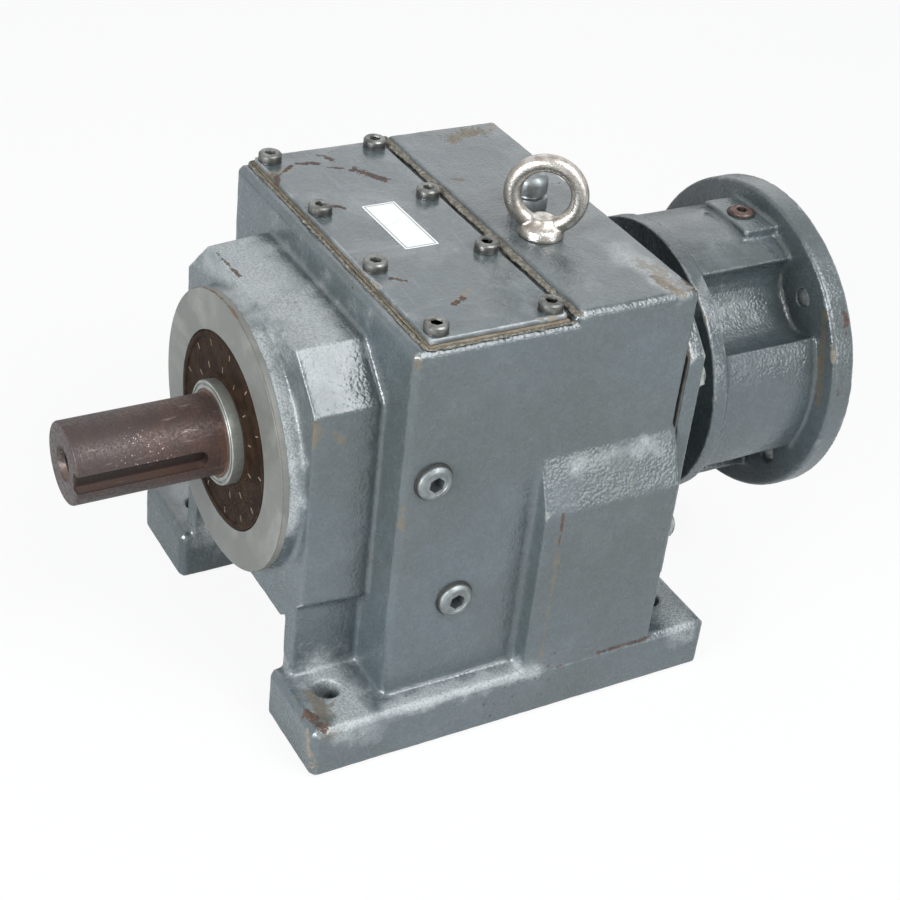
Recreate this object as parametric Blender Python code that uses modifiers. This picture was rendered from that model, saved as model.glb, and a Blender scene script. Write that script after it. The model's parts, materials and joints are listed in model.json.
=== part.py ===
"""Inline helical gear reducer on feet, with a round motor adapter.

Metres, +Z up. The output shaft points along -Y, the motor flange faces +Y and the oil plugs are on
the +X side. The origin is on the ground, half way along the whole length. Offsets along Y are taken
from the front face of the housing's box, where the datum empty stands.
"""
import math

import bmesh
import bpy
from mathutils import Matrix, Vector

# Fits
GAP = 0.0003
RUNNING_GAP = 0.0008
GASKET = 0.0009
BOLT_HOLE_GAP = 0.0006
SEAL_LIP_GAP = 0.0004
CUT_OVERRUN = 0.010
SMALL_EDGE = 0.001

# Facets of round surfaces up to each radius, and the distance that joins equal points
FACET_STEPS = ((0.0066, 8), (0.0125, 12), (0.020, 16), (0.075, 24))
MOST_FACETS = 32
FITTING_FACETS = 16
MERGE_DISTANCE = 0.00001

# Gears: stage one joins the input and intermediate shafts, stage two drives the output shaft
PRESSURE_ANGLE = math.radians(25.0)
HELIX_ANGLE = math.radians(14.0)
BACKLASH = 0.00035
STAGE_ONE_MODULE = 0.0025
STAGE_ONE_PINION_TEETH = 14
STAGE_ONE_WHEEL_TEETH = 52
STAGE_ONE_WIDTH = 0.030
STAGE_TWO_MODULE = 0.0035
STAGE_TWO_PINION_TEETH = 12
STAGE_TWO_WHEEL_TEETH = 38
STAGE_TWO_WIDTH = 0.050
PINION_EXTRA_WIDTH = 0.004
ROOT_CLEARANCE = 0.25

# Shaft axes
SHAFT_HEIGHT = 0.180
INTERMEDIATE_SIDE_OFFSET = 0.060

# Housing box, heights above the ground or from the output axis
CASE_WIDTH = 0.2612
CASE_LENGTH = 0.2002
WALL = 0.010
RIM_ABOVE_AXIS = 0.1195
PAD_ABOVE_AXIS = 0.1261
PAD_START = 0.1106
ROOF = 0.016
FRONT_WALL = 0.012
PARTITION_START = 0.084
PARTITION_THICKNESS = 0.026
REAR_WALL = 0.014
CASE_EDGE = 0.0035

# Belly and floor, as shares of the height of the intermediate wheel's lowest point
BELLY_SHARE = 0.5736
FLOOR_SHARE = 0.7785

# Front block and nose
BLOCK_HALF_WIDTH = 0.0996
BLOCK_LENGTH = 0.0461
BLOCK_ABOVE_AXIS = 0.0978
BLOCK_BELOW_AXIS = 0.1069
BLOCK_CHAMFER = 0.031
NOSE_LENGTH = 0.0155
NOSE_RADIUS = 0.093

# Side bulge over the intermediate wheel
BULGE_START = 0.0981
BULGE_TOP_ABOVE_AXIS = 0.0252
BULGE_CHAMFER_HEIGHT = 0.0384
BULGE_WHEEL_CLEARANCE = 0.008

# Feet
FOOT_ABOVE_BELLY = 0.0119
FOOT_PROUD = 0.0164
FOOT_INNER = 0.0758
FOOT_FRONT_REACH = 0.0563
FOOT_REAR_REACH = 0.0485
FOOT_EDGE = 0.004
FOOT_HOLE_RADIUS = 0.009
FOOT_HOLE_INSET = 0.0265
FOOT_HOLE_SIDE_INSET = 0.037
RIB_THICKNESS = 0.015

# Top cover and its screws
COVER_THICKNESS = 0.004
COVER_FRONT = 0.0108
COVER_LENGTH = 0.0940
COVER_SIDE_MARGIN = 0.0045
SEALANT_PROUD = 0.001
COVER_SEAT = 0.022
SCREW_ROW_INSET = 0.0078
SCREW_SIDE_INSET = 0.0086
SCREW_COLUMNS = 4
SCREW_RADIUS = 0.0047
SCREW_HEAD_RADIUS = 0.008
SCREW_HEAD_HEIGHT = 0.006
SCREW_LENGTH = 0.0125
SCREW_SOCKET = 0.0042

# Oil plugs on the right side: distance behind the front face, height over the ground
LEVEL_PLUG_PLACE = (0.0205, 0.2063)
DRAIN_PLUG_PLACE = (0.0457, 0.1086)
PLUG_RADIUS = 0.007
PLUG_HEAD_RADIUS = 0.012
PLUG_HEAD_HEIGHT = 0.005
PLUG_SOCKET = 0.0055
PLUG_DEPTH = 0.0095

# Lifting eye bolt and breather on the raised pad: side offset, distance behind the front face
EYE_PLACE = (0.0335, 0.1405)
EYE_TURN = math.radians(52.0)
EYE_OUTER_RADIUS = 0.0275
EYE_WIRE_RADIUS = 0.0058
EYE_COLLAR_RADIUS = 0.015
EYE_COLLAR_HEIGHT = 0.010
EYE_HEIGHT = 0.0555
EYE_SHANK_RADIUS = 0.006
EYE_SHANK_LENGTH = 0.0205
EYE_BOSS_DEPTH = 0.012
BREATHER_PLACE = (-0.004, 0.153)
BREATHER_RADIUS = 0.0115
BREATHER_HEIGHT = 0.024
BREATHER_SHANK_RADIUS = 0.006
BREATHER_SHANK_LENGTH = 0.012

# Output shaft, from its tip to its rear end
SHAFT_TIP = -0.1674
SHAFT_RADIUS = 0.02699
SHAFT_END = 0.108
SHAFT_EDGE = 0.002
SLEEVE_SEAT_RADIUS = 0.029
SHOULDER_RADIUS = 0.0405
WHEEL_SEAT_RADIUS = 0.0317
OUTPUT_WHEEL_START = 0.020
KEYWAY_WIDTH = 0.0127
KEYWAY_DEPTH = 0.0075
KEYWAY_LENGTH = 0.086
CENTRE_HOLE_RADIUS = 0.008
CENTRE_HOLE_DEPTH = 0.030
CENTRE_HOLE_SINK = 0.004

# Output seal, its sleeve and the ring that holds the front bearing
SEAL_RADIUS = 0.066
SEAL_DEPTH = 0.010
SEAL_WALL = 0.003
SLEEVE_RADIUS = 0.0346
SLEEVE_PROUD = 0.0075
SNAP_RING_WIDTH = 0.0025
SNAP_RING_SECTION = 0.006
SNAP_RING_OPENING = 0.012

# Tapered roller bearings: bore radius, outer radius, width, number of rollers
OUTPUT_FRONT_BEARING = (0.035, 0.055, 0.025, 14)
OUTPUT_REAR_BEARING = (0.0275, 0.050, 0.022, 12)
INTERMEDIATE_BEARING = (0.015, 0.031, 0.017, 10)
INPUT_BEARING = (0.0175, 0.036, 0.018, 10)
BEARING_SHOULDER = 0.007
CUP_SHARE = 0.22
ROLLER_SHARE = 0.22
ROLLER_TAPER = 0.2
ROLLER_LOBE_REACH = math.radians(75.0)
SPACER_WALL = 0.005

# Intermediate shaft
INTERMEDIATE_POCKET_DEPTH = 0.018
INTERMEDIATE_COLLAR_RADIUS = 0.0162
INTERMEDIATE_WHEEL_SEAT_RADIUS = 0.0137
INTERMEDIATE_WHEEL_START = 0.116
CLIP_THICKNESS = 0.002
CLIP_SECTION = 0.0045
CLIP_OPENING = 0.006
CLIP_LAND = 0.004
POCKET_RELIEF = 0.003

# Input shaft
INPUT_SHAFT_START = 0.112
INPUT_NECK_RADIUS = 0.0135
INPUT_SHOULDER_RADIUS = 0.021
PINION_RUNOUT = 0.006
HUB_SEAT_RADIUS = 0.014
INPUT_SHAFT_REACH = 0.0312

# Wheel bodies and keys
RIM_DEPTH = 0.009
WHEEL_HUB_WALL = 0.010
WHEEL_RECESS = 0.011
WHEEL_KEY_WIDTH = 0.014
SMALL_KEY_WIDTH = 0.008

# Motor adapter, offsets from the back of the housing
PLATE_THICKNESS = 0.012
PLATE_ABOVE_AXIS = 0.110
PLATE_BELOW_AXIS = 0.120
PLATE_CHAMFER = 0.028
REAR_OPENING_INSET = 0.0266
REAR_OPENING_ABOVE_AXIS = 0.088
REAR_OPENING_BELOW_AXIS = 0.098
SPIGOT_HEIGHT = 0.004
NECK_RADIUS = 0.060
COLLAR_START = 0.056
COLLAR_LENGTH = 0.012
COLLAR_RADIUS = 0.100
GROOVE_WIDTH = 0.0025
GROOVE_DEPTH = 0.004
BODY_RADIUS = 0.098
FLANGE_START = 0.146
FLANGE_THICKNESS = 0.018
FLANGE_RADIUS = 0.116
PILOT_RADIUS = 0.10795
PILOT_DEPTH = 0.005
BOLT_CIRCLE_RADIUS = 0.0921
FLANGE_HOLE_RADIUS = 0.007
POCKET_HALF_WIDTH = 0.0285
POCKET_FLOOR_RADIUS = 0.073
POCKET_CORNER = 0.020
BELL_RADIUS = 0.060
FIRST_INPUT_BEARING = 0.010
SECOND_INPUT_BEARING = 0.050
INPUT_SEAL_WIDTH = 0.008
ACCESS_PAD_HALF_WIDTH = 0.025
ACCESS_PAD_LENGTH = 0.028
ACCESS_PAD_PROUD = 0.0035
ACCESS_PLUG_RADIUS = 0.007
ACCESS_PLUG_HEAD = 0.0105
ACCESS_PLUG_HEIGHT = 0.003
ACCESS_PLUG_LENGTH = 0.018

# Bolts of the adapter plate
PLATE_BOLT_RADIUS = 0.0057
PLATE_BOLT_LENGTH = 0.021
PLATE_BOLT_HEAD = 0.0105
PLATE_BOLT_HEAD_HEIGHT = 0.008
PLATE_BOLT_INSET = 0.0146
PLATE_BOLT_SIDE_SPREAD = 0.060

# Coupling hub for the motor shaft
HUB_RADIUS = 0.040
HUB_LENGTH = 0.060
HUB_STANDOFF = 0.004
MOTOR_BORE_RADIUS = 0.0143

# Finishes: colour, roughness, metallic value
PAINT = ((0.155, 0.190, 0.200), 0.42, 0.0)
SEALANT = ((0.300, 0.235, 0.160), 0.80, 0.0)
ZINC = ((0.420, 0.420, 0.400), 0.38, 1.0)
BARE_STEEL = ((0.500, 0.480, 0.450), 0.30, 1.0)
RUSTY_STEEL = ((0.115, 0.060, 0.042), 0.60, 0.55)
SEAL_RUBBER = ((0.060, 0.036, 0.028), 0.65, 0.0)
GEAR_STEEL = ((0.340, 0.340, 0.350), 0.28, 1.0)
BEARING_STEEL = ((0.560, 0.560, 0.570), 0.18, 1.0)
DARK_PAPER = ((0.060, 0.060, 0.055), 0.85, 0.0)

# Values worked out from the ones above
STAGE_ONE_CENTRES = (STAGE_ONE_PINION_TEETH + STAGE_ONE_WHEEL_TEETH) * STAGE_ONE_MODULE / 2
STAGE_TWO_CENTRES = (STAGE_TWO_PINION_TEETH + STAGE_TWO_WHEEL_TEETH) * STAGE_TWO_MODULE / 2
INTERMEDIATE_HEIGHT = SHAFT_HEIGHT - math.sqrt(STAGE_TWO_CENTRES ** 2 - INTERMEDIATE_SIDE_OFFSET ** 2)
INPUT_HEIGHT = INTERMEDIATE_HEIGHT + math.sqrt(STAGE_ONE_CENTRES ** 2 - INTERMEDIATE_SIDE_OFFSET ** 2)
HALF_CASE = CASE_WIDTH / 2
RIM_HEIGHT = SHAFT_HEIGHT + RIM_ABOVE_AXIS
PAD_HEIGHT = SHAFT_HEIGHT + PAD_ABOVE_AXIS
ROOF_UNDERSIDE = SHAFT_HEIGHT + PAD_ABOVE_AXIS - ROOF - EYE_BOSS_DEPTH
PARTITION_END = PARTITION_START + PARTITION_THICKNESS
NOSE_FACE = -BLOCK_LENGTH - NOSE_LENGTH
WHEEL_ONE_TIP = (STAGE_ONE_WHEEL_TEETH / 2 + 1) * STAGE_ONE_MODULE
WHEEL_ONE_BOTTOM = INTERMEDIATE_HEIGHT - WHEEL_ONE_TIP
BELLY_HEIGHT = BELLY_SHARE * WHEEL_ONE_BOTTOM
FLOOR_HEIGHT = FLOOR_SHARE * WHEEL_ONE_BOTTOM
FOOT_THICKNESS = BELLY_HEIGHT + FOOT_ABOVE_BELLY
BULGE_INNER = INTERMEDIATE_SIDE_OFFSET + WHEEL_ONE_TIP + BULGE_WHEEL_CLEARANCE
BULGE_OUTER = BULGE_INNER + WALL
FOOT_OUTER = HALF_CASE + FOOT_PROUD
FRONT_BEARING_START = NOSE_FACE + SEAL_DEPTH + SNAP_RING_WIDTH + 3 * GAP
FRONT_BEARING_END = FRONT_BEARING_START + OUTPUT_FRONT_BEARING[2]
ADAPTER_FACE = CASE_LENGTH + GASKET + 2 * GAP
FLANGE_BACK = CASE_LENGTH + FLANGE_START + FLANGE_THICKNESS
DATUM_Y = -(SHAFT_TIP + FLANGE_BACK) / 2
REAR_OPENING_HALF = HALF_CASE - REAR_OPENING_INSET
INPUT_SEAL_START = SECOND_INPUT_BEARING + INPUT_BEARING[2] + GAP
BELL_START = CASE_LENGTH + INPUT_SEAL_START + INPUT_SEAL_WIDTH + GAP


def start_scene():
    """Empty the scene and make the collections for the parts and for the cutters."""
    for old in list(bpy.data.objects):
        bpy.data.objects.remove(old, do_unlink=True)
    parts = bpy.data.collections.new("inline_gear_reducer")
    cutters = bpy.data.collections.new("cutters")
    bpy.context.scene.collection.children.link(parts)
    bpy.context.scene.collection.children.link(cutters)
    return parts, cutters


PARTS, CUTTERS = start_scene()


def make_empty(name, parent, location):
    """Add an empty that other pieces are placed from."""
    empty = bpy.data.objects.new(name, None)
    PARTS.objects.link(empty)
    empty.parent = parent
    empty.location = location
    return empty


DATUM = make_empty("housing_front_datum", None, (0, DATUM_Y, 0))
OUTPUT_AXIS = make_empty("output_axis", DATUM, (0, 0, SHAFT_HEIGHT))
INTERMEDIATE_AXIS = make_empty("intermediate_axis", DATUM, (INTERMEDIATE_SIDE_OFFSET, 0, INTERMEDIATE_HEIGHT))
INPUT_AXIS = make_empty("input_axis", DATUM, (0, 0, INPUT_HEIGHT))

ALONG_Y = Matrix.Rotation(math.radians(-90), 4, "X")
FACING_FRONT = Matrix.Rotation(math.radians(90), 4, "X")
ALONG_X = Matrix.Rotation(math.radians(90), 4, "Y")


def facets(radius):
    """Number of facets that keeps a round surface within about a third of a millimetre."""
    for limit, count in FACET_STEPS:
        if radius <= limit:
            return count
    return MOST_FACETS


def add_object(name, mesh, parent, matrix=None):
    """Put a mesh in the parts collection, placed from its parent empty."""
    item = bpy.data.objects.new(name, mesh)
    PARTS.objects.link(item)
    item.parent = parent
    item.matrix_local = matrix if matrix is not None else Matrix.Identity(4)
    return item


def finish(item, look):
    """Give a piece its own material and its name's shading."""
    colour, roughness, metallic = look
    material = bpy.data.materials.new(item.name)
    material.use_nodes = True
    shader = material.node_tree.nodes["Principled BSDF"]
    shader.inputs["Base Color"].default_value = (*colour, 1.0)
    shader.inputs["Roughness"].default_value = roughness
    shader.inputs["Metallic"].default_value = metallic
    item.data.materials.clear()
    item.data.materials.append(material)
    return item


def as_cutter(item):
    """Move a helper solid to the cutters, out of the model."""
    PARTS.objects.unlink(item)
    CUTTERS.objects.link(item)
    item.hide_render = True
    item.display_type = "WIRE"
    return item


def combine(target, helper, operation):
    """Cut a helper from a piece, or join it on."""
    modifier = target.modifiers.new(f"{operation.lower()}_{helper.name}", "BOOLEAN")
    modifier.operation = operation
    modifier.solver = "EXACT"
    modifier.object = as_cutter(helper)
    return target


def cut(target, *helpers):
    for helper in helpers:
        combine(target, helper, "DIFFERENCE")
    return target


def join(target, *helpers):
    for helper in helpers:
        combine(target, helper, "UNION")
    return target


def box(name, parent, xs, ys, zs, edge=0.0):
    """A box between pairs of limits, its edges rounded if an edge width is given."""
    mesh = bpy.data.meshes.new(name)
    shape = bmesh.new()
    size = Vector((xs[1] - xs[0], ys[1] - ys[0], zs[1] - zs[0]))
    centre = Vector((sum(xs) / 2, sum(ys) / 2, sum(zs) / 2))
    bmesh.ops.create_cube(shape, size=1.0, matrix=Matrix.Translation(centre) @ Matrix.Diagonal((*size, 1)))
    if edge:
        bmesh.ops.bevel(
            shape, geom=shape.edges[:], offset=edge, segments=1, affect="EDGES", profile=0.5
        )
    shape.to_mesh(mesh)
    shape.free()
    return add_object(name, mesh, parent)


def round_bars(name, parent, radius, limits, centres, axis="Y", sides=None):
    """Equal round bars along one axis, as one mesh: limits along it, centres across it."""
    turn = {"X": ALONG_X, "Y": ALONG_Y, "Z": Matrix.Identity(4)}[axis]
    count = sides or facets(radius)
    mesh = bpy.data.meshes.new(name)
    shape = bmesh.new()
    middle = sum(limits) / 2
    for first, second in centres:
        place = {
            "X": Vector((middle, first, second)),
            "Y": Vector((first, middle, second)),
            "Z": Vector((first, second, middle)),
        }[axis]
        bmesh.ops.create_cone(
            shape, cap_ends=True, segments=count, radius1=radius, radius2=radius,
            depth=limits[1] - limits[0], matrix=Matrix.Translation(place) @ turn,
        )
    shape.to_mesh(mesh)
    shape.free()
    return add_object(name, mesh, parent)


def turned(name, parent, profile, sides=None, axis="Y", place=(0, 0, 0)):
    """Turn a closed profile of (radius, distance along the axis) with a Screw modifier."""
    area = sum(
        a[0] * b[1] - b[0] * a[1] for a, b in zip(profile, profile[1:] + profile[:1])
    )
    points = list(profile) if area < 0 else list(reversed(profile))
    on_axis = [index for index, point in enumerate(points) if point[0] == 0]
    mesh = bpy.data.meshes.new(name)
    edges = [(index, (index + 1) % len(points)) for index in range(len(points))]
    edges = [edge for edge in edges if not (edge[0] in on_axis and edge[1] in on_axis)]
    mesh.from_pydata([(radius, 0, along) for radius, along in points], edges, [])
    turn = {"X": ALONG_X, "Y": ALONG_Y, "Z": Matrix.Identity(4)}[axis]
    item = add_object(name, mesh, parent, Matrix.Translation(place) @ turn)
    screw = item.modifiers.new("turn", "SCREW")
    screw.axis = "Z"
    screw.angle = math.tau
    screw.steps = sides or facets(max(point[0] for point in points))
    screw.render_steps = screw.steps
    screw.use_merge_vertices = True
    screw.merge_threshold = MERGE_DISTANCE
    screw.use_smooth_shade = False
    return item


def ring(name, parent, inner, outer, start, end, sides=None):
    """A plain ring with a rectangular section."""
    profile = [(inner, start), (outer, start), (outer, end), (inner, end)]
    return turned(name, parent, profile, sides)


def rod(name, parent, steps, sides=None, nose=0.0, tail=0.0):
    """A stepped shaft from (radius, start, end) steps, with a chamfer at each end."""
    profile = [(0, steps[0][1])]
    for index, (radius, start, end) in enumerate(steps):
        first = nose if index == 0 else 0.0
        last = tail if index == len(steps) - 1 else 0.0
        if first:
            profile.append((radius - first, start))
        profile.append((radius, start + first))
        profile.append((radius, end - last))
        if last:
            profile.append((radius - last, end))
    profile.append((0, steps[-1][2]))
    return turned(name, parent, profile, sides)


def arc(centre, radius, start, end, count):
    """Points on an arc, angles in degrees."""
    angles = [math.radians(start + (end - start) * step / count) for step in range(count + 1)]
    return [(centre[0] + radius * math.cos(a), centre[1] + radius * math.sin(a)) for a in angles]


def circle(centre, radius):
    """Points round a hole, without the repeated last one."""
    return arc(centre, radius, 0, 360, facets(radius))[:-1]


def flat_solid(name, parent, outline, start, end, holes=(), facing="Y", spin=0.0):
    """A flat outline with holes, as thick as its two limits are apart.

    Facing Y the outline lies in X and Z, turned about Y by the spin, and facing Z it lies in X and Y.
    """
    curve = bpy.data.curves.new(name, "CURVE")
    curve.dimensions = "2D"
    curve.fill_mode = "BOTH"
    curve.extrude = (end - start) / 2
    for loop in (outline, *holes):
        spline = curve.splines.new("POLY")
        spline.points.add(len(loop) - 1)
        for point, (across, up) in zip(spline.points, loop):
            point.co = (across, up, 0, 1)
        spline.use_cyclic_u = True
    middle = (start + end) / 2
    if facing == "Y":
        matrix = Matrix.Rotation(spin, 4, "Y") @ Matrix.Translation((0, middle, 0)) @ FACING_FRONT
    else:
        matrix = Matrix.Translation((0, 0, middle))
    outline_object = add_object(f"{name}_outline", curve, parent, matrix)
    bpy.context.view_layer.update()
    graph = bpy.context.evaluated_depsgraph_get()
    mesh = bpy.data.meshes.new_from_object(outline_object.evaluated_get(graph))
    bpy.data.objects.remove(outline_object, do_unlink=True)
    shape = bmesh.new()
    shape.from_mesh(mesh)
    bmesh.ops.remove_doubles(shape, verts=shape.verts[:], dist=MERGE_DISTANCE)
    bmesh.ops.recalc_face_normals(shape, faces=shape.faces[:])
    shape.to_mesh(mesh)
    shape.free()
    mesh.name = name
    return add_object(name, mesh, parent, matrix)


def shade(item, angle=32.0):
    """Smooth the round faces of a piece and keep its corners sharp."""
    item.data.shade_smooth()
    if item.data.polygons:
        item.data.set_sharp_from_angle(angle=math.radians(angle))
    return item


def involute(angle):
    return math.tan(angle) - angle


def gear_outline(teeth, module, fine):
    """Points round a gear, a tooth standing at angle zero. Fine teeth also have a pitch point a flank."""
    pitch = teeth * module / 2
    base = pitch * math.cos(PRESSURE_ANGLE)
    tip = pitch + module
    root = pitch - (1 + ROOT_CLEARANCE) * module

    def half_angle(radius):
        flank = math.acos(min(1.0, base / max(radius, base)))
        return (math.pi / 2 / teeth - BACKLASH / 2 / pitch) + involute(PRESSURE_ANGLE) - involute(flank)

    flank = (root, pitch, tip) if fine else (root, tip)
    points = []
    for tooth in range(teeth):
        centre = math.tau * tooth / teeth
        for radius in flank:
            points.append((radius, centre - half_angle(radius)))
        for radius in reversed(flank):
            points.append((radius, centre + half_angle(radius)))
    return [(radius * math.cos(angle), radius * math.sin(angle)) for radius, angle in points]


def helical_gear(name, parent, teeth, module, start, width, phase, hand, turns):
    """A helical gear: its outline is extruded and turned a little at each step.

    The phase is the tooth's angle half way along the width, so that two gears in mesh agree there.
    """
    twist = hand * width * math.tan(HELIX_ANGLE) / (teeth * module / 2)
    mesh = bpy.data.meshes.new(name)
    shape = bmesh.new()
    corners = [shape.verts.new((x, y, 0)) for x, y in gear_outline(teeth, module, turns > 1)]
    face = shape.faces.new(corners)
    for step in range(turns):
        grown = bmesh.ops.extrude_face_region(shape, geom=[face])
        if step:
            bmesh.ops.delete(shape, geom=[face], context="FACES_ONLY")
        moved = [item for item in grown["geom"] if isinstance(item, bmesh.types.BMVert)]
        face = next(item for item in grown["geom"] if isinstance(item, bmesh.types.BMFace))
        bmesh.ops.translate(shape, verts=moved, vec=(0, 0, width / turns))
        bmesh.ops.rotate(shape, verts=moved, cent=(0, 0, 0), matrix=Matrix.Rotation(twist / turns, 3, "Z"))
    bmesh.ops.rotate(
        shape, verts=shape.verts[:], cent=(0, 0, 0), matrix=Matrix.Rotation(phase - twist / 2, 3, "Z")
    )
    bmesh.ops.recalc_face_normals(shape, faces=shape.faces[:])
    shape.to_mesh(mesh)
    shape.free()
    return add_object(name, mesh, parent, Matrix.Translation((0, start, 0)) @ ALONG_Y)


def mesh_angle(first_axis, second_axis):
    """Angle of the line from one shaft axis to another, as a gear's own outline sees it."""
    step = second_axis.location - first_axis.location
    return math.atan2(-step.z, step.x)


def wheel_body(wheel, parent, teeth, module, start, width, bore, key_width):
    """Cut the bore, its keyway and the two side recesses in a gear wheel."""
    rim = (teeth / 2 - 1 - ROOT_CLEARANCE) * module - RIM_DEPTH
    hub = bore + WHEEL_HUB_WALL
    end = start + width
    cut(
        wheel,
        round_bars(f"{wheel.name}_bore", parent, bore, (start - CUT_OVERRUN, end + CUT_OVERRUN), [(0, 0)]),
        box(
            f"{wheel.name}_keyway", parent,
            (-key_width / 2 - GAP, key_width / 2 + GAP), (start - CUT_OVERRUN, end + CUT_OVERRUN),
            (0, bore + key_width / 4),
        ),
        ring(f"{wheel.name}_front_recess", parent, hub, rim, start - CUT_OVERRUN, start + WHEEL_RECESS, 20),
        ring(f"{wheel.name}_rear_recess", parent, hub, rim, end - WHEEL_RECESS, end + CUT_OVERRUN, 20),
    )
    return finish(wheel, GEAR_STEEL)


def shaft_key(name, parent, width, seat_radius, start, end):
    """A square key at the top of a seat, half in the shaft, and the cutter for its slot."""
    top = seat_radius + width / 4
    bottom = seat_radius - width / 2
    key = box(name, parent, (-width / 2, width / 2), (start, end), (bottom, top - GAP))
    slot = box(
        f"{name}_slot", parent, (-width / 2 - GAP, width / 2 + GAP), (start - GAP, end + GAP),
        (bottom - GAP, seat_radius + CUT_OVERRUN),
    )
    return finish(key, ZINC), slot


def roller_bearing(name, parent, sizes, start, big_end_first):
    """A tapered roller bearing: the cup is one piece, and the cone with its rollers is the other.

    The ring of rollers is one outline with a round lobe for each, extruded along the shaft and
    widened towards its big end.
    """
    bore, outer, width, count = sizes
    section = outer - bore
    end = start + width
    lean = -ROLLER_TAPER if big_end_first else ROLLER_TAPER
    cup_inner = outer - CUP_SHARE * section
    cup = turned(
        f"{name}_cup", parent,
        [
            (outer, start), (outer, end), (cup_inner + lean * width / 2, end),
            (cup_inner - lean * width / 2, start),
        ],
    )
    lobe = ROLLER_SHARE * section
    tip = cup_inner - RUNNING_GAP
    centre = tip - lobe
    outline = []
    for index in range(count):
        middle = math.tau * (index + 0.5) / count
        for swing in (-1, 0, 1):
            angle = middle + swing * ROLLER_LOBE_REACH
            across = centre * math.cos(middle) + lobe * math.cos(angle)
            up = centre * math.sin(middle) + lobe * math.sin(angle)
            outline.append((across, up))
        valley = middle + math.pi / count
        depth = centre - lobe / 3
        outline.append((depth * math.cos(valley), depth * math.sin(valley)))
    mesh = bpy.data.meshes.new(f"{name}_cone")
    shape = bmesh.new()
    face = shape.faces.new([shape.verts.new((x, y, 0)) for x, y in outline])
    grown = bmesh.ops.extrude_face_region(shape, geom=[face])
    far = [item for item in grown["geom"] if isinstance(item, bmesh.types.BMVert)]
    near = [vertex for vertex in shape.verts if vertex not in far]
    bmesh.ops.translate(shape, verts=far, vec=(0, 0, width - 2 * GAP))
    for verts, growth in ((far, lean * width / 2), (near, -lean * width / 2)):
        bmesh.ops.scale(shape, verts=verts, vec=(1 + growth / centre, 1 + growth / centre, 1))
    bmesh.ops.recalc_face_normals(shape, faces=shape.faces[:])
    shape.to_mesh(mesh)
    shape.free()
    cone = add_object(f"{name}_cone", mesh, parent, Matrix.Translation((0, start + GAP, 0)) @ ALONG_Y)
    limits = (start - CUT_OVERRUN, end + CUT_OVERRUN)
    cut(cone, round_bars(f"{name}_cone_bore", parent, bore, limits, [(0, 0)]))
    finish(cup, BEARING_STEEL)
    finish(cone, BEARING_STEEL)
    return cup, cone


def housing_outline_solids():
    """The outer shapes of the casting, joined on its box."""
    axis = SHAFT_HEIGHT
    case = box(
        "gear_housing", DATUM, (-HALF_CASE, HALF_CASE), (0, CASE_LENGTH), (BELLY_HEIGHT, RIM_HEIGHT),
        CASE_EDGE,
    )
    pad = box(
        "raised_pad", DATUM, (-HALF_CASE, HALF_CASE), (PAD_START, CASE_LENGTH),
        (SHAFT_HEIGHT, PAD_HEIGHT), CASE_EDGE,
    )
    low = axis - BLOCK_BELOW_AXIS
    high = axis + BLOCK_ABOVE_AXIS
    wide = BLOCK_HALF_WIDTH
    slant = BLOCK_CHAMFER
    block = flat_solid(
        "front_block", DATUM,
        [
            (-wide, low + slant), (-wide + slant, low), (wide - slant, low), (wide, low + slant),
            (wide, high - slant), (wide - slant, high), (-wide + slant, high), (-wide, high - slant),
        ],
        -BLOCK_LENGTH, WALL,
    )
    nose = round_bars("nose", OUTPUT_AXIS, NOSE_RADIUS, (NOSE_FACE, WALL / 2), [(0, 0)])
    rim = nose.modifiers.new("rim", "BEVEL")
    rim.width = CASE_EDGE / 2
    rim.segments = 1
    bulge_top = axis + BULGE_TOP_ABOVE_AXIS
    bulge = flat_solid(
        "side_bulge", DATUM,
        [
            (HALF_CASE - WALL / 2, FOOT_THICKNESS / 2), (BULGE_OUTER, FOOT_THICKNESS / 2),
            (BULGE_OUTER, bulge_top - BULGE_CHAMFER_HEIGHT), (HALF_CASE, bulge_top),
            (HALF_CASE - WALL / 2, bulge_top),
        ],
        BULGE_START, CASE_LENGTH,
    )
    helpers = [pad, block, nose, bulge]
    for side, word in ((-1, "left"), (1, "right")):
        xs = sorted((side * FOOT_INNER, side * FOOT_OUTER))
        helpers.append(
            box(
                f"{word}_foot", DATUM, xs, (-FOOT_FRONT_REACH, CASE_LENGTH + FOOT_REAR_REACH),
                (0, FOOT_THICKNESS), FOOT_EDGE,
            )
        )
        xs = sorted((side * FOOT_INNER, side * (FOOT_INNER + RIB_THICKNESS)))
        helpers.append(
            box(f"{word}_rib", DATUM, xs, (-BLOCK_LENGTH, WALL), (FOOT_THICKNESS / 2, low + slant))
        )
    return join(case, *helpers)


def cover_screw_places():
    """Places of the cover screws, in two rows."""
    reach = HALF_CASE - COVER_SIDE_MARGIN - SCREW_SIDE_INSET
    columns = [reach * (2 * index / (SCREW_COLUMNS - 1) - 1) for index in range(SCREW_COLUMNS)]
    rows = (COVER_FRONT + SCREW_ROW_INSET, COVER_FRONT + COVER_LENGTH - SCREW_ROW_INSET)
    return [(x, y) for y in rows for x in columns]


def plate_bolt_places():
    """Places of the adapter plate bolts, as side offset and height."""
    side = HALF_CASE - PLATE_BOLT_INSET
    top = INPUT_HEIGHT + PLATE_ABOVE_AXIS - PLATE_BOLT_INSET / 1.6
    bottom = INPUT_HEIGHT - PLATE_BELOW_AXIS + PLATE_BOLT_INSET / 1.6
    places = [(s * side, INPUT_HEIGHT + t * PLATE_BOLT_SIDE_SPREAD) for t in (1, -1) for s in (-1, 1)]
    return [*places, (0, top), (0, bottom)]


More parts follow.
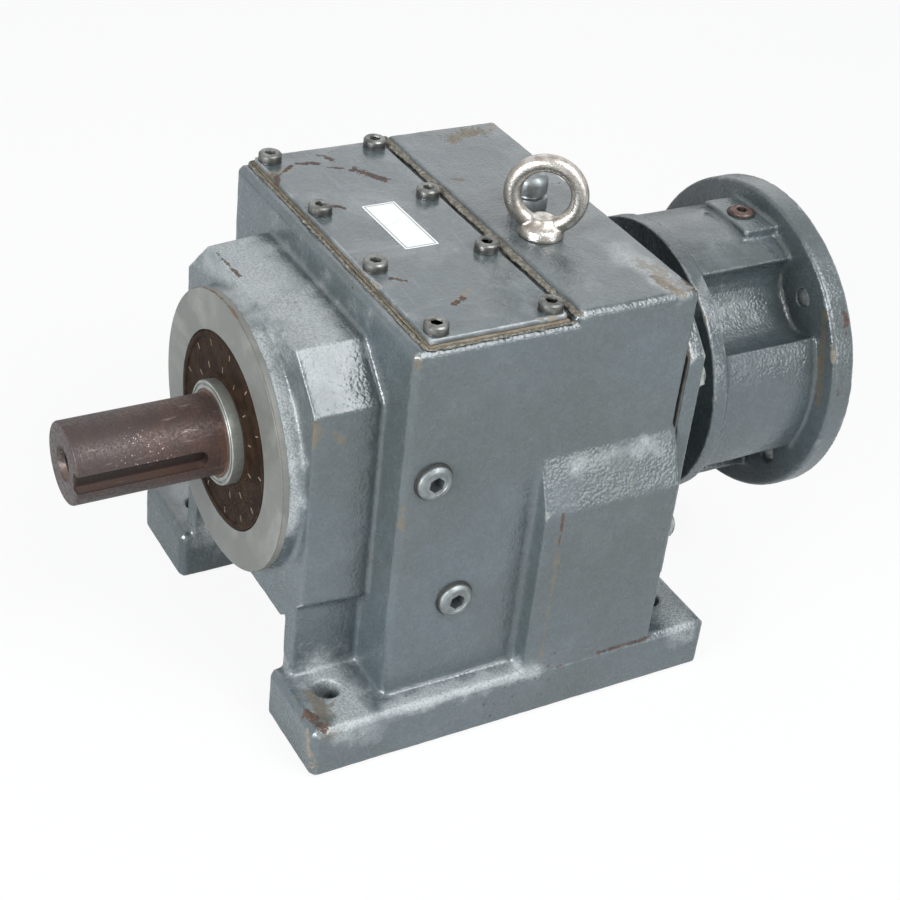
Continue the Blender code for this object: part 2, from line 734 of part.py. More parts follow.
def foot_hole_places():
    """Places of the four foot holes."""
    rows = (-FOOT_FRONT_REACH + FOOT_HOLE_INSET, CASE_LENGTH + FOOT_REAR_REACH - FOOT_HOLE_INSET)
    return [(side * (FOOT_OUTER - FOOT_HOLE_SIDE_INSET), y) for y in rows for side in (-1, 1)]


def cover_opening():
    """Limits of the opening under the cover, across and along."""
    half = HALF_CASE - COVER_SIDE_MARGIN - COVER_SEAT
    return (-half, half), (COVER_FRONT + COVER_SEAT * 0.75, COVER_FRONT + COVER_LENGTH - COVER_SEAT)


def gear_housing():
    """The casting: outer shapes, two gear chambers, bearing bores and all its holes."""
    case = housing_outline_solids()
    inner = HALF_CASE - WALL
    rim_seat = RIM_HEIGHT - ROOF
    opening_x, opening_y = cover_opening()
    cut(
        case,
        box("front_chamber", DATUM, (-inner, inner), (FRONT_WALL, PARTITION_START), (FLOOR_HEIGHT, rim_seat)),
        box("cover_hole", DATUM, opening_x, opening_y, (rim_seat - CUT_OVERRUN, RIM_HEIGHT + CUT_OVERRUN)),
        box(
            "rear_chamber", DATUM, (-inner, inner), (PARTITION_END, CASE_LENGTH - REAR_WALL),
            (FLOOR_HEIGHT, ROOF_UNDERSIDE),
        ),
        box(
            "rear_hole", DATUM, (-REAR_OPENING_HALF, REAR_OPENING_HALF),
            (CASE_LENGTH - REAR_WALL - CUT_OVERRUN, CASE_LENGTH + CUT_OVERRUN),
            (INPUT_HEIGHT - REAR_OPENING_BELOW_AXIS, INPUT_HEIGHT + REAR_OPENING_ABOVE_AXIS),
        ),
    )
    wheel_top = SHAFT_HEIGHT + BULGE_TOP_ABOVE_AXIS - WALL / 2
    cut(
        case,
        flat_solid(
            "bulge_chamber", DATUM,
            [
                (inner - WALL, FLOOR_HEIGHT + WALL / 2), (BULGE_INNER, FLOOR_HEIGHT + WALL / 2),
                (BULGE_INNER, wheel_top - BULGE_CHAMFER_HEIGHT), (inner, wheel_top),
                (inner - WALL, wheel_top),
            ],
            PARTITION_END, CASE_LENGTH - REAR_WALL,
        ),
    )
    front_outer = OUTPUT_FRONT_BEARING[1] + GAP
    rear_outer = OUTPUT_REAR_BEARING[1] + GAP
    rear_depth = PARTITION_START + OUTPUT_REAR_BEARING[2] + 2 * GAP
    seal_end = NOSE_FACE + SEAL_DEPTH + GAP
    ring_end = seal_end + SNAP_RING_WIDTH + GAP
    small_outer = INTERMEDIATE_BEARING[1] + GAP
    small_depth = PARTITION_START + INTERMEDIATE_BEARING[2] + 2 * GAP
    pocket = FRONT_WALL - INTERMEDIATE_POCKET_DEPTH
    mouth = NOSE_FACE - CUT_OVERRUN
    inside = PARTITION_START - CUT_OVERRUN
    far = PARTITION_END + CUT_OVERRUN
    groove = front_outer + SNAP_RING_SECTION / 2
    cut(
        case,
        turned(
            "output_bores", OUTPUT_AXIS,
            [
                (0, mouth), (SEAL_RADIUS + GAP, mouth), (SEAL_RADIUS + GAP, seal_end), (groove, seal_end),
                (groove, ring_end), (front_outer, ring_end), (front_outer, FRONT_BEARING_END + GAP),
                (front_outer - BEARING_SHOULDER, FRONT_BEARING_END + GAP),
                (front_outer - BEARING_SHOULDER, inside), (rear_outer, inside),
                (rear_outer, rear_depth), (rear_outer - BEARING_SHOULDER, rear_depth),
                (rear_outer - BEARING_SHOULDER, far), (0, far),
            ],
        ),
        turned(
            "intermediate_bores", INTERMEDIATE_AXIS,
            [
                (0, pocket - POCKET_RELIEF), (small_outer - BEARING_SHOULDER, pocket - POCKET_RELIEF),
                (small_outer - BEARING_SHOULDER, pocket), (small_outer, pocket), (small_outer, small_depth),
                (small_outer - BEARING_SHOULDER, small_depth),
                (small_outer - BEARING_SHOULDER, far), (0, far),
            ],
        ),
        round_bars(
            "oil_passage", DATUM, WALL, (inside, far), [(-HALF_CASE / 2, FLOOR_HEIGHT + 2 * WALL)]
        ),
    )
    foot_limits = (-CUT_OVERRUN, FOOT_THICKNESS + CUT_OVERRUN)
    screw_limits = (RIM_HEIGHT - SCREW_LENGTH - GAP, RIM_HEIGHT + CUT_OVERRUN)
    bolt_depth = ADAPTER_FACE + PLATE_THICKNESS - PLATE_BOLT_LENGTH - GAP
    wall_limits = (inner - CUT_OVERRUN, HALF_CASE + CUT_OVERRUN)
    bolt_limits = (bolt_depth, CASE_LENGTH + CUT_OVERRUN)
    eye_limits = (PAD_HEIGHT - EYE_SHANK_LENGTH - 2 * GAP, PAD_HEIGHT + CUT_OVERRUN)
    breather_limits = (ROOF_UNDERSIDE - CUT_OVERRUN, PAD_HEIGHT + CUT_OVERRUN)
    screw_hole = SCREW_RADIUS + BOLT_HOLE_GAP
    bolt_hole = PLATE_BOLT_RADIUS + BOLT_HOLE_GAP
    plugs = [LEVEL_PLUG_PLACE, DRAIN_PLUG_PLACE]
    cut(
        case,
        round_bars("foot_holes", DATUM, FOOT_HOLE_RADIUS, foot_limits, foot_hole_places(), "Z"),
        round_bars("cover_screw_holes", DATUM, screw_hole, screw_limits, cover_screw_places(), "Z"),
        round_bars("plate_bolt_holes", DATUM, bolt_hole, bolt_limits, plate_bolt_places()),
        round_bars("plug_holes", DATUM, PLUG_RADIUS + GAP, wall_limits, plugs, "X"),
        round_bars(
            "eye_hole", DATUM, EYE_SHANK_RADIUS + GAP, eye_limits, [EYE_PLACE], "Z", FITTING_FACETS
        ),
        round_bars(
            "breather_hole", DATUM, BREATHER_SHANK_RADIUS + GAP, breather_limits, [BREATHER_PLACE], "Z",
            FITTING_FACETS,
        ),
    )
    return finish(case, PAINT)


def cover_outline(extra):
    """Corners of the cover, grown on each side."""
    half = HALF_CASE - COVER_SIDE_MARGIN + extra
    front = COVER_FRONT - extra
    back = COVER_FRONT + COVER_LENGTH + extra
    return [(-half, front), (half, front), (half, back), (-half, back)]


def socket_screw(name, parent, place, sizes, axis, sides, look):
    """A socket head screw or plug, its head's underside at the place given.

    The sizes are shank radius, shank length, head radius, head height and socket radius.
    """
    shank, length, head, height, socket = sizes
    screw = turned(
        name, parent,
        [
            (0, -length), (shank, -length), (shank, 0), (head, 0), (head, height), (0, height),
        ],
        sides, axis, place,
    )
    hexagon = bpy.data.meshes.new(f"{name}_socket")
    shape = bmesh.new()
    bmesh.ops.create_cone(
        shape, cap_ends=True, segments=6, radius1=socket, radius2=socket, depth=height,
        matrix=Matrix.Translation((0, 0, height * 0.95)),
    )
    shape.to_mesh(hexagon)
    shape.free()
    turn = {"X": ALONG_X, "Z": Matrix.Identity(4)}[axis]
    cut(screw, add_object(f"{name}_socket", hexagon, parent, Matrix.Translation(place) @ turn))
    return finish(screw, look)


def top_cover():
    """The cover plate, its gasket and its screws."""
    opening_x, opening_y = cover_opening()
    opening = [
        (opening_x[0], opening_y[0]), (opening_x[1], opening_y[0]),
        (opening_x[1], opening_y[1]), (opening_x[0], opening_y[1]),
    ]
    places = cover_screw_places()
    holes = [circle(place, SCREW_RADIUS + BOLT_HOLE_GAP) for place in places]
    gasket_top = RIM_HEIGHT + GAP + GASKET
    gasket = flat_solid(
        "cover_gasket", DATUM, cover_outline(SEALANT_PROUD), RIM_HEIGHT + GAP, gasket_top,
        [opening, *holes], "Z",
    )
    finish(gasket, SEALANT)
    bottom = gasket_top + GAP
    top = bottom + COVER_THICKNESS
    finish(flat_solid("top_cover", DATUM, cover_outline(0), bottom, top, holes, "Z"), PAINT)
    sizes = (
        SCREW_RADIUS, SCREW_LENGTH + COVER_THICKNESS, SCREW_HEAD_RADIUS, SCREW_HEAD_HEIGHT, SCREW_SOCKET,
    )
    for number, (x, y) in enumerate(places, start=1):
        socket_screw(f"cover_screw_{number}", DATUM, (x, y, top + GAP), sizes, "Z", 10, ZINC)


def side_plugs():
    """The oil level plug and the oil drain plug."""
    sizes = (PLUG_RADIUS, PLUG_DEPTH, PLUG_HEAD_RADIUS, PLUG_HEAD_HEIGHT, PLUG_SOCKET)
    for name, (y, z) in (("oil_level_plug", LEVEL_PLUG_PLACE), ("oil_drain_plug", DRAIN_PLUG_PLACE)):
        socket_screw(name, DATUM, (HALF_CASE + GAP, y, z), sizes, "X", FITTING_FACETS, ZINC)


def eye_bolt():
    """The lifting eye: a turned shank and collar with a ring joined on."""
    x, y = EYE_PLACE
    place = (x, y, PAD_HEIGHT + GAP)
    neck = EYE_WIRE_RADIUS * 1.25
    bolt = turned(
        "eye_bolt", DATUM,
        [
            (0, -EYE_SHANK_LENGTH), (EYE_SHANK_RADIUS, -EYE_SHANK_LENGTH), (EYE_SHANK_RADIUS, 0),
            (EYE_COLLAR_RADIUS, 0), (EYE_COLLAR_RADIUS, EYE_COLLAR_HEIGHT * 0.55),
            (neck, EYE_COLLAR_HEIGHT), (neck, EYE_COLLAR_HEIGHT + EYE_WIRE_RADIUS * 0.4),
            (0, EYE_COLLAR_HEIGHT + EYE_WIRE_RADIUS * 0.4),
        ],
        FITTING_FACETS, "Z", place,
    )
    major = EYE_OUTER_RADIUS - EYE_WIRE_RADIUS
    bpy.ops.mesh.primitive_torus_add(
        major_segments=20, minor_segments=8, major_radius=major, minor_radius=EYE_WIRE_RADIUS
    )
    eye = bpy.context.object
    eye.name = "eye_ring"
    for collection in list(eye.users_collection):
        collection.objects.unlink(eye)
    PARTS.objects.link(eye)
    eye.parent = DATUM
    centre = Matrix.Translation((x, y, PAD_HEIGHT + EYE_HEIGHT - EYE_OUTER_RADIUS))
    eye.matrix_local = centre @ Matrix.Rotation(EYE_TURN, 4, "Z") @ Matrix.Rotation(math.radians(90), 4, "X")
    join(bolt, eye)
    return finish(bolt, BARE_STEEL)


def breather_valve():
    """The breather: a threaded shank, a hexagon and a cap."""
    x, y = BREATHER_PLACE
    place = (x, y, PAD_HEIGHT + GAP)
    cap = BREATHER_RADIUS
    hexagon = 0.35 * BREATHER_HEIGHT
    valve = turned(
        "breather_valve", DATUM,
        [
            (0, -BREATHER_SHANK_LENGTH), (BREATHER_SHANK_RADIUS, -BREATHER_SHANK_LENGTH),
            (BREATHER_SHANK_RADIUS, hexagon), (cap * 0.7, hexagon), (cap * 0.7, hexagon * 1.35),
            (cap, hexagon * 1.35), (cap, BREATHER_HEIGHT * 0.85), (cap * 0.75, BREATHER_HEIGHT),
            (0, BREATHER_HEIGHT),
        ],
        FITTING_FACETS, "Z", place,
    )
    nut = round_bars("breather_hexagon", DATUM, cap * 1.1, (place[2], place[2] + hexagon), [(x, y)], "Z", 6)
    join(valve, nut)
    return finish(valve, ZINC)


def output_shaft_parts():
    """The output shaft with its wheel, key, spacer, seal sleeve, bearings and seal."""
    front_start = FRONT_BEARING_START
    sleeve_start = NOSE_FACE - SLEEVE_PROUD
    wheel_end = OUTPUT_WHEEL_START + STAGE_TWO_WIDTH
    shaft = rod(
        "output_shaft", OUTPUT_AXIS,
        [
            (SHAFT_RADIUS, SHAFT_TIP, sleeve_start),
            (SLEEVE_SEAT_RADIUS, sleeve_start, front_start),
            (OUTPUT_FRONT_BEARING[0] - GAP, front_start, FRONT_BEARING_END + GAP),
            (SHOULDER_RADIUS, FRONT_BEARING_END + GAP, OUTPUT_WHEEL_START - GAP),
            (WHEEL_SEAT_RADIUS, OUTPUT_WHEEL_START - GAP, wheel_end + GAP),
            (OUTPUT_REAR_BEARING[0] - GAP, wheel_end + GAP, SHAFT_END),
        ],
        sides=24, nose=SHAFT_EDGE, tail=SHAFT_EDGE / 2,
    )
    key, key_slot = shaft_key(
        "output_wheel_key", OUTPUT_AXIS, WHEEL_KEY_WIDTH, WHEEL_SEAT_RADIUS,
        OUTPUT_WHEEL_START + WHEEL_KEY_WIDTH / 2, wheel_end - WHEEL_KEY_WIDTH / 2,
    )
    keyway_end = SHAFT_TIP + KEYWAY_LENGTH
    half = KEYWAY_WIDTH / 2
    floor = SHAFT_RADIUS - KEYWAY_DEPTH
    keyway = flat_solid(
        "shaft_keyway", OUTPUT_AXIS,
        [
            (SHAFT_TIP - CUT_OVERRUN, -half), *arc((keyway_end - half, 0), half, -90, 90, 8),
            (SHAFT_TIP - CUT_OVERRUN, half),
        ],
        floor, SHAFT_RADIUS + CUT_OVERRUN, facing="Z",
    )
    keyway.matrix_local = (
        Matrix.Rotation(math.radians(90), 4, "Y") @ Matrix.Rotation(math.radians(90), 4, "Z")
        @ Matrix.Translation((0, 0, (floor + SHAFT_RADIUS + CUT_OVERRUN) / 2))
    )
    mouth = SHAFT_TIP - SMALL_EDGE
    hole_end = SHAFT_TIP + CENTRE_HOLE_DEPTH
    centre_hole = turned(
        "shaft_centre_hole", OUTPUT_AXIS,
        [
            (0, mouth), (CENTRE_HOLE_RADIUS + CENTRE_HOLE_SINK + SMALL_EDGE, mouth),
            (CENTRE_HOLE_RADIUS, SHAFT_TIP + CENTRE_HOLE_SINK), (CENTRE_HOLE_RADIUS, hole_end),
            (0, hole_end + CENTRE_HOLE_RADIUS * 0.6),
        ],
    )
    cut(shaft, keyway, centre_hole, key_slot)
    finish(shaft, RUSTY_STEEL)

    phase = mesh_angle(OUTPUT_AXIS, INTERMEDIATE_AXIS) + math.pi / STAGE_TWO_WHEEL_TEETH
    wheel = helical_gear(
        "output_wheel", OUTPUT_AXIS, STAGE_TWO_WHEEL_TEETH, STAGE_TWO_MODULE, OUTPUT_WHEEL_START,
        STAGE_TWO_WIDTH, phase, 1, 1,
    )
    wheel_body(
        wheel, OUTPUT_AXIS, STAGE_TWO_WHEEL_TEETH, STAGE_TWO_MODULE, OUTPUT_WHEEL_START, STAGE_TWO_WIDTH,
        WHEEL_SEAT_RADIUS + GAP, WHEEL_KEY_WIDTH,
    )
    bearing_seat = PARTITION_START + GAP
    spacer = ring(
        "output_spacer_sleeve", OUTPUT_AXIS, OUTPUT_REAR_BEARING[0], OUTPUT_REAR_BEARING[0] + SPACER_WALL,
        wheel_end + 2 * GAP, bearing_seat - GAP,
    )
    finish(spacer, ZINC)
    sleeve = turned(
        "seal_sleeve", OUTPUT_AXIS,
        [
            (SLEEVE_SEAT_RADIUS + GAP, sleeve_start), (SLEEVE_RADIUS - SHAFT_EDGE / 2, sleeve_start),
            (SLEEVE_RADIUS, sleeve_start + SHAFT_EDGE / 2), (SLEEVE_RADIUS, front_start - 2 * GAP),
            (SLEEVE_SEAT_RADIUS + GAP, front_start - 2 * GAP),
        ],
    )
    finish(sleeve, ZINC)
    roller_bearing("output_front_bearing", OUTPUT_AXIS, OUTPUT_FRONT_BEARING, front_start, True)
    roller_bearing("output_rear_bearing", OUTPUT_AXIS, OUTPUT_REAR_BEARING, bearing_seat, False)

    seal_end = NOSE_FACE + SEAL_DEPTH
    lip = SLEEVE_RADIUS + SEAL_LIP_GAP
    seal = turned(
        "output_shaft_seal", OUTPUT_AXIS,
        [
            (lip, NOSE_FACE), (SEAL_RADIUS, NOSE_FACE), (SEAL_RADIUS, seal_end),
            (SEAL_RADIUS - SEAL_WALL, seal_end), (SEAL_RADIUS - SEAL_WALL, NOSE_FACE + SEAL_WALL),
            (lip, NOSE_FACE + SEAL_WALL),
        ],
    )
    finish(seal, SEAL_RUBBER)
    ring_radius = OUTPUT_FRONT_BEARING[1] + SNAP_RING_SECTION / 2
    snap_ring = ring(
        "bearing_snap_ring", OUTPUT_AXIS, ring_radius - SNAP_RING_SECTION, ring_radius,
        seal_end + 2 * GAP, seal_end + SNAP_RING_WIDTH,
    )
    cut(
        snap_ring,
        box(
            "snap_ring_gap", OUTPUT_AXIS, (-SNAP_RING_OPENING / 2, SNAP_RING_OPENING / 2),
            (seal_end - CUT_OVERRUN, seal_end + CUT_OVERRUN),
            (-ring_radius - CUT_OVERRUN, -ring_radius + SNAP_RING_SECTION + CUT_OVERRUN),
        ),
    )
    finish(snap_ring, ZINC)


def intermediate_shaft_parts():
    """The intermediate pinion shaft with its wheel, key, spacer, circlip and bearings."""
    seat = INTERMEDIATE_BEARING[0] - GAP
    width = INTERMEDIATE_BEARING[2]
    pocket = FRONT_WALL - INTERMEDIATE_POCKET_DEPTH
    front_start = pocket + GAP
    front_end = front_start + width
    rear_start = PARTITION_START + GAP
    rear_end = rear_start + width
    wheel_start = INTERMEDIATE_WHEEL_START
    wheel_end = wheel_start + STAGE_ONE_WIDTH
    bore_seat = INTERMEDIATE_WHEEL_SEAT_RADIUS
    groove_end = wheel_end + GAP + CLIP_THICKNESS + 2 * GAP
    shaft = rod(
        "intermediate_pinion_shaft", INTERMEDIATE_AXIS,
        [
            (seat, pocket - 2 * POCKET_RELIEF / 3, front_end + GAP),
            (INTERMEDIATE_COLLAR_RADIUS, front_end + GAP, rear_start - GAP),
            (seat, rear_start - GAP, wheel_start - GAP),
            (bore_seat, wheel_start - GAP, wheel_end + GAP),
            (bore_seat - SMALL_EDGE, wheel_end + GAP, groove_end),
            (bore_seat, groove_end, groove_end + CLIP_LAND),
        ],
        nose=SMALL_EDGE, tail=SMALL_EDGE,
    )
    phase = mesh_angle(OUTPUT_AXIS, INTERMEDIATE_AXIS) + math.pi
    pinion = helical_gear(
        "stage_two_pinion", INTERMEDIATE_AXIS, STAGE_TWO_PINION_TEETH, STAGE_TWO_MODULE,
        OUTPUT_WHEEL_START, STAGE_TWO_WIDTH, phase, -1, 2,
    )
    key, key_slot = shaft_key(
        "intermediate_wheel_key", INTERMEDIATE_AXIS, SMALL_KEY_WIDTH, bore_seat,
        wheel_start + SMALL_KEY_WIDTH / 2, wheel_end - SMALL_KEY_WIDTH / 2,
    )
    join(shaft, pinion)
    cut(shaft, key_slot)
    finish(shaft, GEAR_STEEL)
    phase = mesh_angle(INTERMEDIATE_AXIS, INPUT_AXIS) + math.pi / STAGE_ONE_WHEEL_TEETH
    wheel = helical_gear(
        "intermediate_wheel", INTERMEDIATE_AXIS, STAGE_ONE_WHEEL_TEETH, STAGE_ONE_MODULE, wheel_start,
        STAGE_ONE_WIDTH, phase, -1, 1,
    )
    wheel_body(
        wheel, INTERMEDIATE_AXIS, STAGE_ONE_WHEEL_TEETH, STAGE_ONE_MODULE, wheel_start, STAGE_ONE_WIDTH,
        bore_seat + GAP, SMALL_KEY_WIDTH,
    )
    spacer = ring(
        "intermediate_spacer", INTERMEDIATE_AXIS, seat + GAP, seat + SPACER_WALL,
        rear_end + GAP, wheel_start - 2 * GAP,
    )
    finish(spacer, ZINC)
    clip_start = wheel_end + 2 * GAP
    groove = bore_seat - SMALL_EDGE
    clip = ring(
        "intermediate_circlip", INTERMEDIATE_AXIS, groove + GAP, groove + CLIP_SECTION,
        clip_start, clip_start + CLIP_THICKNESS,
    )
    cut(
        clip,
        box(
            "circlip_gap", INTERMEDIATE_AXIS, (-CLIP_OPENING / 2, CLIP_OPENING / 2),
            (clip_start - CUT_OVERRUN, clip_start + CUT_OVERRUN), (-bore_seat - CUT_OVERRUN, 0),
        ),
    )
    finish(clip, ZINC)
    roller_bearing("intermediate_front_bearing", INTERMEDIATE_AXIS, INTERMEDIATE_BEARING, front_start, True)
    roller_bearing("intermediate_rear_bearing", INTERMEDIATE_AXIS, INTERMEDIATE_BEARING, rear_start, False)


def input_shaft_parts():
    """The input pinion shaft with its bearings, seal, coupling hub and key."""
    bore = INPUT_BEARING[0]
    width = INPUT_BEARING[2]
    first_start = CASE_LENGTH + FIRST_INPUT_BEARING
    second_start = CASE_LENGTH + SECOND_INPUT_BEARING
    second_end = second_start + width
    hub_start = BELL_START + HUB_STANDOFF
    pinion_start = INTERMEDIATE_WHEEL_START - PINION_EXTRA_WIDTH / 2
    pinion_width = STAGE_ONE_WIDTH + PINION_EXTRA_WIDTH
    shaft_end = hub_start + INPUT_SHAFT_REACH
    shaft = rod(
        "input_pinion_shaft", INPUT_AXIS,
        [
            (INPUT_NECK_RADIUS, INPUT_SHAFT_START, pinion_start + pinion_width + PINION_RUNOUT),
            (INPUT_SHOULDER_RADIUS, pinion_start + pinion_width + PINION_RUNOUT, first_start - GAP),
            (bore - GAP, first_start - GAP, hub_start - GAP),
            (HUB_SEAT_RADIUS, hub_start - GAP, shaft_end),
        ],
        nose=SMALL_EDGE, tail=SMALL_EDGE,
    )
    phase = mesh_angle(INTERMEDIATE_AXIS, INPUT_AXIS) + math.pi
    pinion = helical_gear(
        "stage_one_pinion", INPUT_AXIS, STAGE_ONE_PINION_TEETH, STAGE_ONE_MODULE, pinion_start,
        pinion_width, phase, 1, 2,
    )
    key, key_slot = shaft_key(
        "hub_key", INPUT_AXIS, SMALL_KEY_WIDTH, HUB_SEAT_RADIUS,
        hub_start + SMALL_KEY_WIDTH / 2, shaft_end - SMALL_KEY_WIDTH / 2,
    )
    join(shaft, pinion)
    cut(shaft, key_slot)
    finish(shaft, GEAR_STEEL)
    roller_bearing("input_front_bearing", INPUT_AXIS, INPUT_BEARING, first_start, False)
    roller_bearing("input_rear_bearing", INPUT_AXIS, INPUT_BEARING, second_start, False)
    spacer = ring(
        "input_spacer", INPUT_AXIS, bore, bore + SPACER_WALL, first_start + width + GAP, second_start - GAP
    )
    finish(spacer, ZINC)
    lip = bore + GAP
    outer = INPUT_BEARING[1]
    seal_start = second_end + GAP
    seal_end = seal_start + INPUT_SEAL_WIDTH - GAP
    seal = turned(
        "input_shaft_seal", INPUT_AXIS,
        [
            (lip, seal_end), (outer, seal_end), (outer, seal_start), (outer - SEAL_WALL, seal_start),
            (outer - SEAL_WALL, seal_end - SEAL_WALL), (lip, seal_end - SEAL_WALL),
        ],
    )
    finish(seal, SEAL_RUBBER)
    hub_end = hub_start + HUB_LENGTH
    edge = SHAFT_EDGE
    hub = turned(
        "coupling_hub", INPUT_AXIS,
        [
            (MOTOR_BORE_RADIUS, hub_start), (HUB_RADIUS - edge, hub_start), (HUB_RADIUS, hub_start + edge),
            (HUB_RADIUS, hub_end - edge), (HUB_RADIUS - edge, hub_end), (MOTOR_BORE_RADIUS, hub_end),
        ],
    )
    cut(
        hub,
        box(
            "hub_keyway", INPUT_AXIS, (-SMALL_KEY_WIDTH / 2 - GAP, SMALL_KEY_WIDTH / 2 + GAP),
            (hub_start - CUT_OVERRUN, hub_end + CUT_OVERRUN), (0, HUB_SEAT_RADIUS + SMALL_KEY_WIDTH / 4),
        ),
    )
    finish(hub, ZINC)


def pocket_cutter(turn):
    """The hollow for one motor bolt: straight sides and a floor with wide round corners."""
    half = POCKET_HALF_WIDTH
    floor = POCKET_FLOOR_RADIUS
    bend = POCKET_CORNER
    outline = [
        (FLANGE_RADIUS + CUT_OVERRUN, half),
        *arc((floor + bend, half - bend), bend, 90, 180, 4),
        *arc((floor + bend, bend - half), bend, 180, 270, 4),
        (FLANGE_RADIUS + CUT_OVERRUN, -half),
    ]
    return flat_solid(
        f"motor_bolt_pocket_{turn}", INPUT_AXIS, outline, CASE_LENGTH + COLLAR_START + COLLAR_LENGTH,
        CASE_LENGTH + FLANGE_START, spin=math.radians(-turn),
    )


def motor_adapter():
    """The adapter casting: turned body, plate, four bolt pockets, access pad, bores and holes."""
    start = ADAPTER_FACE
    plate_end = start + PLATE_THICKNESS
    collar = CASE_LENGTH + COLLAR_START
    groove = collar + COLLAR_LENGTH
    flange = CASE_LENGTH + FLANGE_START
    edge = SHAFT_EDGE
    adapter = turned(
        "motor_adapter", INPUT_AXIS,
        [
            (0, start), (NECK_RADIUS, start), (NECK_RADIUS, collar), (COLLAR_RADIUS, collar),
            (COLLAR_RADIUS, groove), (COLLAR_RADIUS - GROOVE_DEPTH, groove),
            (COLLAR_RADIUS - GROOVE_DEPTH, groove + GROOVE_WIDTH), (BODY_RADIUS, groove + GROOVE_WIDTH),
            (BODY_RADIUS, flange), (FLANGE_RADIUS - edge, flange), (FLANGE_RADIUS, flange + edge),
            (FLANGE_RADIUS, FLANGE_BACK), (0, FLANGE_BACK),
        ],
    )
    top = PLATE_ABOVE_AXIS
    low = -PLATE_BELOW_AXIS
    wide = HALF_CASE
    slant = PLATE_CHAMFER
    plate = flat_solid(
        "mounting_plate", INPUT_AXIS,
        [
            (-wide, low + slant), (-wide + slant, low), (wide - slant, low), (wide, low + slant),
            (wide, top - slant), (wide - slant, top), (-wide + slant, top), (-wide, top - slant),
        ],
        start, plate_end,
    )
    spigot_start = start - SPIGOT_HEIGHT
    spigot = box(
        "spigot", INPUT_AXIS, (-REAR_OPENING_HALF + GAP, REAR_OPENING_HALF - GAP), (spigot_start, plate_end),
        (-REAR_OPENING_BELOW_AXIS + GAP, REAR_OPENING_ABOVE_AXIS - GAP),
    )
    pad_end = flange + edge
    pad = box(
        "access_pad", INPUT_AXIS, (-ACCESS_PAD_HALF_WIDTH, ACCESS_PAD_HALF_WIDTH),
        (flange - ACCESS_PAD_LENGTH, pad_end), (BELL_RADIUS + WALL, BODY_RADIUS + ACCESS_PAD_PROUD),
    )
    join(adapter, plate, spigot, pad)
    cut(adapter, *[pocket_cutter(turn) for turn in (45, 135, 225, 315)])
    seat = INPUT_BEARING[1] + GAP
    shoulder = CASE_LENGTH + FIRST_INPUT_BEARING + INPUT_BEARING[2] + GAP
    second = CASE_LENGTH + SECOND_INPUT_BEARING - GAP
    mouth = spigot_start - CUT_OVERRUN
    pilot = FLANGE_BACK - PILOT_DEPTH
    outside = FLANGE_BACK + CUT_OVERRUN
    cut(
        adapter,
        turned(
            "adapter_bore", INPUT_AXIS,
            [
                (0, mouth), (seat, mouth), (seat, shoulder), (seat - BEARING_SHOULDER, shoulder),
                (seat - BEARING_SHOULDER, second), (seat, second), (seat, BELL_START),
                (BELL_RADIUS, BELL_START), (BELL_RADIUS, pilot), (PILOT_RADIUS, pilot),
                (PILOT_RADIUS, outside), (0, outside),
            ],
        ),
    )
    side = BOLT_CIRCLE_RADIUS * math.sqrt(0.5)
    centres = [(sx * side, sz * side) for sx in (-1, 1) for sz in (-1, 1)]
    bolt_centres = [(x, z - INPUT_HEIGHT) for x, z in plate_bolt_places()]
    flange_limits = (flange - CUT_OVERRUN / 2, outside)
    plate_limits = (start - CUT_OVERRUN, plate_end + CUT_OVERRUN)
    access_limits = (BELL_RADIUS - CUT_OVERRUN, BODY_RADIUS + 2 * CUT_OVERRUN)
    bolt_hole = PLATE_BOLT_RADIUS + BOLT_HOLE_GAP
    access = [(0, flange - ACCESS_PAD_LENGTH / 2)]
    cut(
        adapter,
        round_bars("flange_holes", INPUT_AXIS, FLANGE_HOLE_RADIUS, flange_limits, centres),
        round_bars("plate_holes", INPUT_AXIS, bolt_hole, plate_limits, bolt_centres),
        round_bars("access_hole", INPUT_AXIS, ACCESS_PLUG_RADIUS + GAP, access_limits, access, "Z"),
    )
    return finish(adapter, PAINT)


